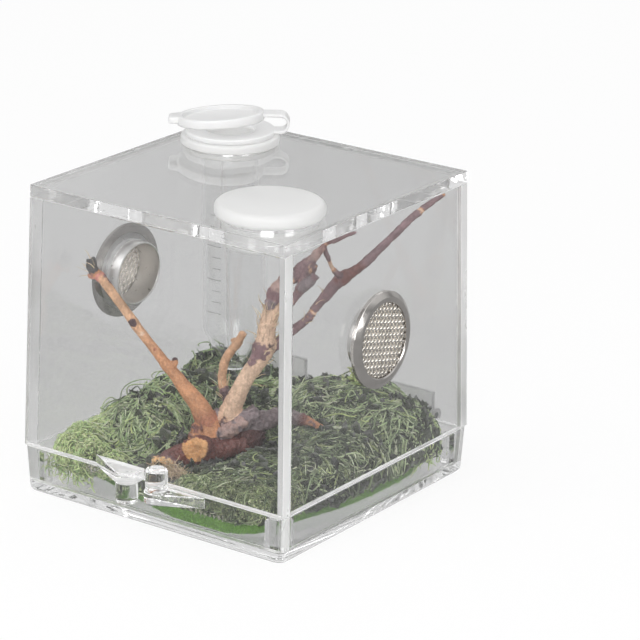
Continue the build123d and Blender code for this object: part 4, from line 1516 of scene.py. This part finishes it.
def combed(spots, normals, spread, lift):
    """Headings that follow slow sweeps across the moss, looser on the left."""
    count = len(spots)
    loose = np.clip((2 - spots[:, 0]) / 18, 0, 1)
    angle = radians(32) + 0.6 * clump_noise(spots, 0.05, 8.0) + gauss(0, 1, count) * (spread + 0.9 * loose)
    angle += pi * (rng.random(count) > 0.5)
    heading = np.column_stack([np.cos(angle), np.sin(angle), gauss(0, 0.15, count)])
    heading -= normals * (heading * normals).sum(axis=1, keepdims=True)
    level = np.cross(normals, (0, 0, 1)) * np.where(rng.random((count, 1)) > 0.5, 1, -1)
    level = unit(level) + gauss(0, 0.4, (count, 3))
    steep = np.abs(normals[:, 2:]) < 0.65
    return unit(unit(np.where(steep, level, heading)) + normals * lift)


# Name, count, lengths, thickness, curl, spread of headings, lift, rise over the moss
moss_groups = (
    ("moss_strands", 5600, (7.0, 16.0), (0.14, 0.27), 0.12, 0.32, 0.26, (0.2, 1.2)),
    ("moss_curls", 4200, (3.5, 7.5), (0.12, 0.21), 0.80, 1.40, 0.50, (0.3, 1.7)),
)


def make_moss(field):
    for name, count, lengths, thick, curl, spread, lift, rise in moss_groups:
        spots, normals = surface_samples("moss_bed", count, -0.3)
        heading = combed(spots, normals, spread, lift)
        paths = grow(spots - normals * 0.8, heading, lengths, 12, curl, 0.03, 0.10)
        paths = settle(paths, field, uniform(*rise, (count, 1)))
        paths = strands_of(name, paths, thick, moss_palette, "dried_moss")
        if name == "moss_strands":
            make_leaflets(paths, field)


def make_leaflets(paths, field):
    """Short side shoots along the strands."""
    count = 12000
    strand = rng.integers(0, len(paths), count)
    place = rng.integers(2, paths.shape[1], count)
    start = paths[strand, place]
    along = unit(start - paths[strand, place - 1])
    heading = unit(along * 0.7 + gauss(0, 0.8, (count, 3)))
    leaves = grow(start, heading, (0.8, 2.4), 4, 0.5, 0.0, 0.1)
    leaves = settle(leaves, field, np.full((count, 1), 1.3))
    strands_of("moss_leaflets", leaves, (0.12, 0.2), moss_palette, "dried_moss", 0.5)


def make_strays(field):
    """Long single strands that arch over the moss, mostly on the left and at the back."""
    count = 90
    spots, _ = surface_samples("moss_bed", 4 * count, 0.5)
    spots = spots[np.argsort(spots[:, 0] - 0.4 * spots[:, 1] + gauss(0, 14, 4 * count))[:count]]
    heading = unit(gauss(0, 0.6, (count, 3)) + np.array([0, 0, 1.0]))
    paths = grow(spots, heading, (7, 14), 16, 0.35, 0.16, 0.08)
    paths = settle(paths, field, uniform(2.5, 6.0, (count, 1)))
    strands_of("moss_strays", paths, (0.13, 0.2), moss_palette, "dried_moss")


# Tall leafy sprigs: foot, height and lean along X, in millimetres
sprigs = [(12.0, 27.0, 15.5, 9.5, 0.08), (14.4, 27.2, 16.0, 11.0, 0.10), (10.4, 27.0, 15.0, 7.5, -0.10)]


def make_sprigs():
    climb = np.linspace(0, 1, 16)
    bend = 0.8 * np.sin(climb * 5)
    stems = np.array([
        np.column_stack([x + lean * tall * climb + bend, y + 0.4 * bend, z + tall * climb])
        for x, y, z, tall, lean in sprigs
    ])
    strands_of("sprig_stems", stems, (0.20, 0.24), sprig_palette, "yellow_moss")
    count = 110
    stem = rng.integers(0, len(stems), count)
    place = rng.integers(3, 16, count)
    heading = unit(gauss(0, 0.7, (count, 3)) + np.array([0, 0, 0.8]))
    leaves = grow(stems[stem, place], heading, (0.8, 2.2), 5, 0.4, 0.0, 0.1)
    strands_of("sprig_leaves", leaves, (0.28, 0.42), sprig_palette, "yellow_moss", 0.3)


# Boxes of roots for strands that hang from the tufts: low corner, high corner and count
hanging_roots = (((-35.0, -35.2, 6.0), (-21.0, -33.5, 9.5), 80), ((33.0, 22.0, 6.0), (35.0, 32.0, 9.5), 70))


def make_tufts(field):
    """Fluffy yellow green clumps against the front and left walls, with strands that hang from them."""
    count = 7600
    spots, normals = surface_samples("moss_tufts", count)
    heading = unit(normals + gauss(0, 0.8, (count, 3)))
    paths = grow(spots - normals * 1.4, heading, (1.6, 3.6), 6, 1.1, 0.0, 0.3)
    paths = settle(paths, field, np.full((count, 1), 1.6))
    strands_of("fluffy_tufts", paths, (0.13, 0.19), tuft_palette, "yellow_moss", 0.5, ("moss_tufts",))
    start = np.vstack([np.array(low) + rng.random((each, 3)) * (np.array(high) - np.array(low))
                       for low, high, each in hanging_roots])
    heading = unit(gauss(0, 0.55, (len(start), 3)) + np.array([0, 0, -0.6]))
    paths = keep_inside(grow(start, heading, (2.5, 6.0), 10, 0.5, 0.05, 0.12))
    strands_of("hanging_strands", paths, (0.14, 0.24), tuft_palette, "yellow_moss", 0.4)


def make_crumbs():
    """Pale crumbs along the mat's edge and a fleck of white fluff near the front wall."""
    line = mat_line()
    count = 900
    picks = rng.integers(0, len(line), count)
    edge = line[picks] * uniform(0.965, 0.995, (count, 1))
    start = np.column_stack([edge, felt_top - 0.1 + uniform(-0.1, 0.7, count)])
    fluff = np.array([-21.5, -34.3, 9.2]) + gauss(0, 1, (60, 3)) * np.array([1.6, 0.4, 0.7])
    start = np.vstack([start, fluff])
    heading = unit(gauss(0, 1, (len(start), 3)))
    paths = keep_inside(grow(start, heading, (0.5, 1.1), 5, 1.5, 0.0, 0.3))
    strands_of("pale_crumbs", paths, (0.15, 0.24), pale_palette, "dried_moss", 0.1)


def make_hinges():
    """The hinges keep their frame nodes."""
    plastic = ("tray_hinge_leaves", hinge_mat), ("cover_hinge_leaves", hinge_mat)
    for name, mat in (*plastic, ("hinge_pins", pin_mat)):
        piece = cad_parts[name]
        piece.data.materials.clear()
        piece.data.materials.append(mat)
        shade(piece, 25)


make_camera()
make_floor()
make_world()
make_lamps()
make_panels("cover", cover_half, cover_corner, cover_base, lid_low - joint_gap)
make_panels("tray", tray_half, tray_corner, floor_top + joint_gap, rim_z)
make_lid()
make_tray_floor()
make_posts()
make_tab("right_tab", "tray", 1, tray_half)
make_tab("left_tab", "cover", -1, cover_half)
make_peg("right_peg", "tray", 1)
make_peg("left_peg", "cover", -1)
make_vent("right")
make_vent("left")
make_plug()
make_grommet()
make_tube()
make_ticks()
make_cap()
make_strap()
make_hinges()
make_branch()
make_mat()
make_moss_bed()
heights = moss_heights()
make_moss(heights)
make_strays(heights)
make_sprigs()
make_tufts(heights)
make_crumbs()

scene = bpy.context.scene
scene.view_settings.view_transform = "Standard"
# Light is led a long way inside the clear sheets before it leaves at their edges
scene.cycles.max_bounces = 40
scene.cycles.glossy_bounces = 32
scene.cycles.transmission_bounces = 40
scene.cycles.transparent_max_bounces = 24
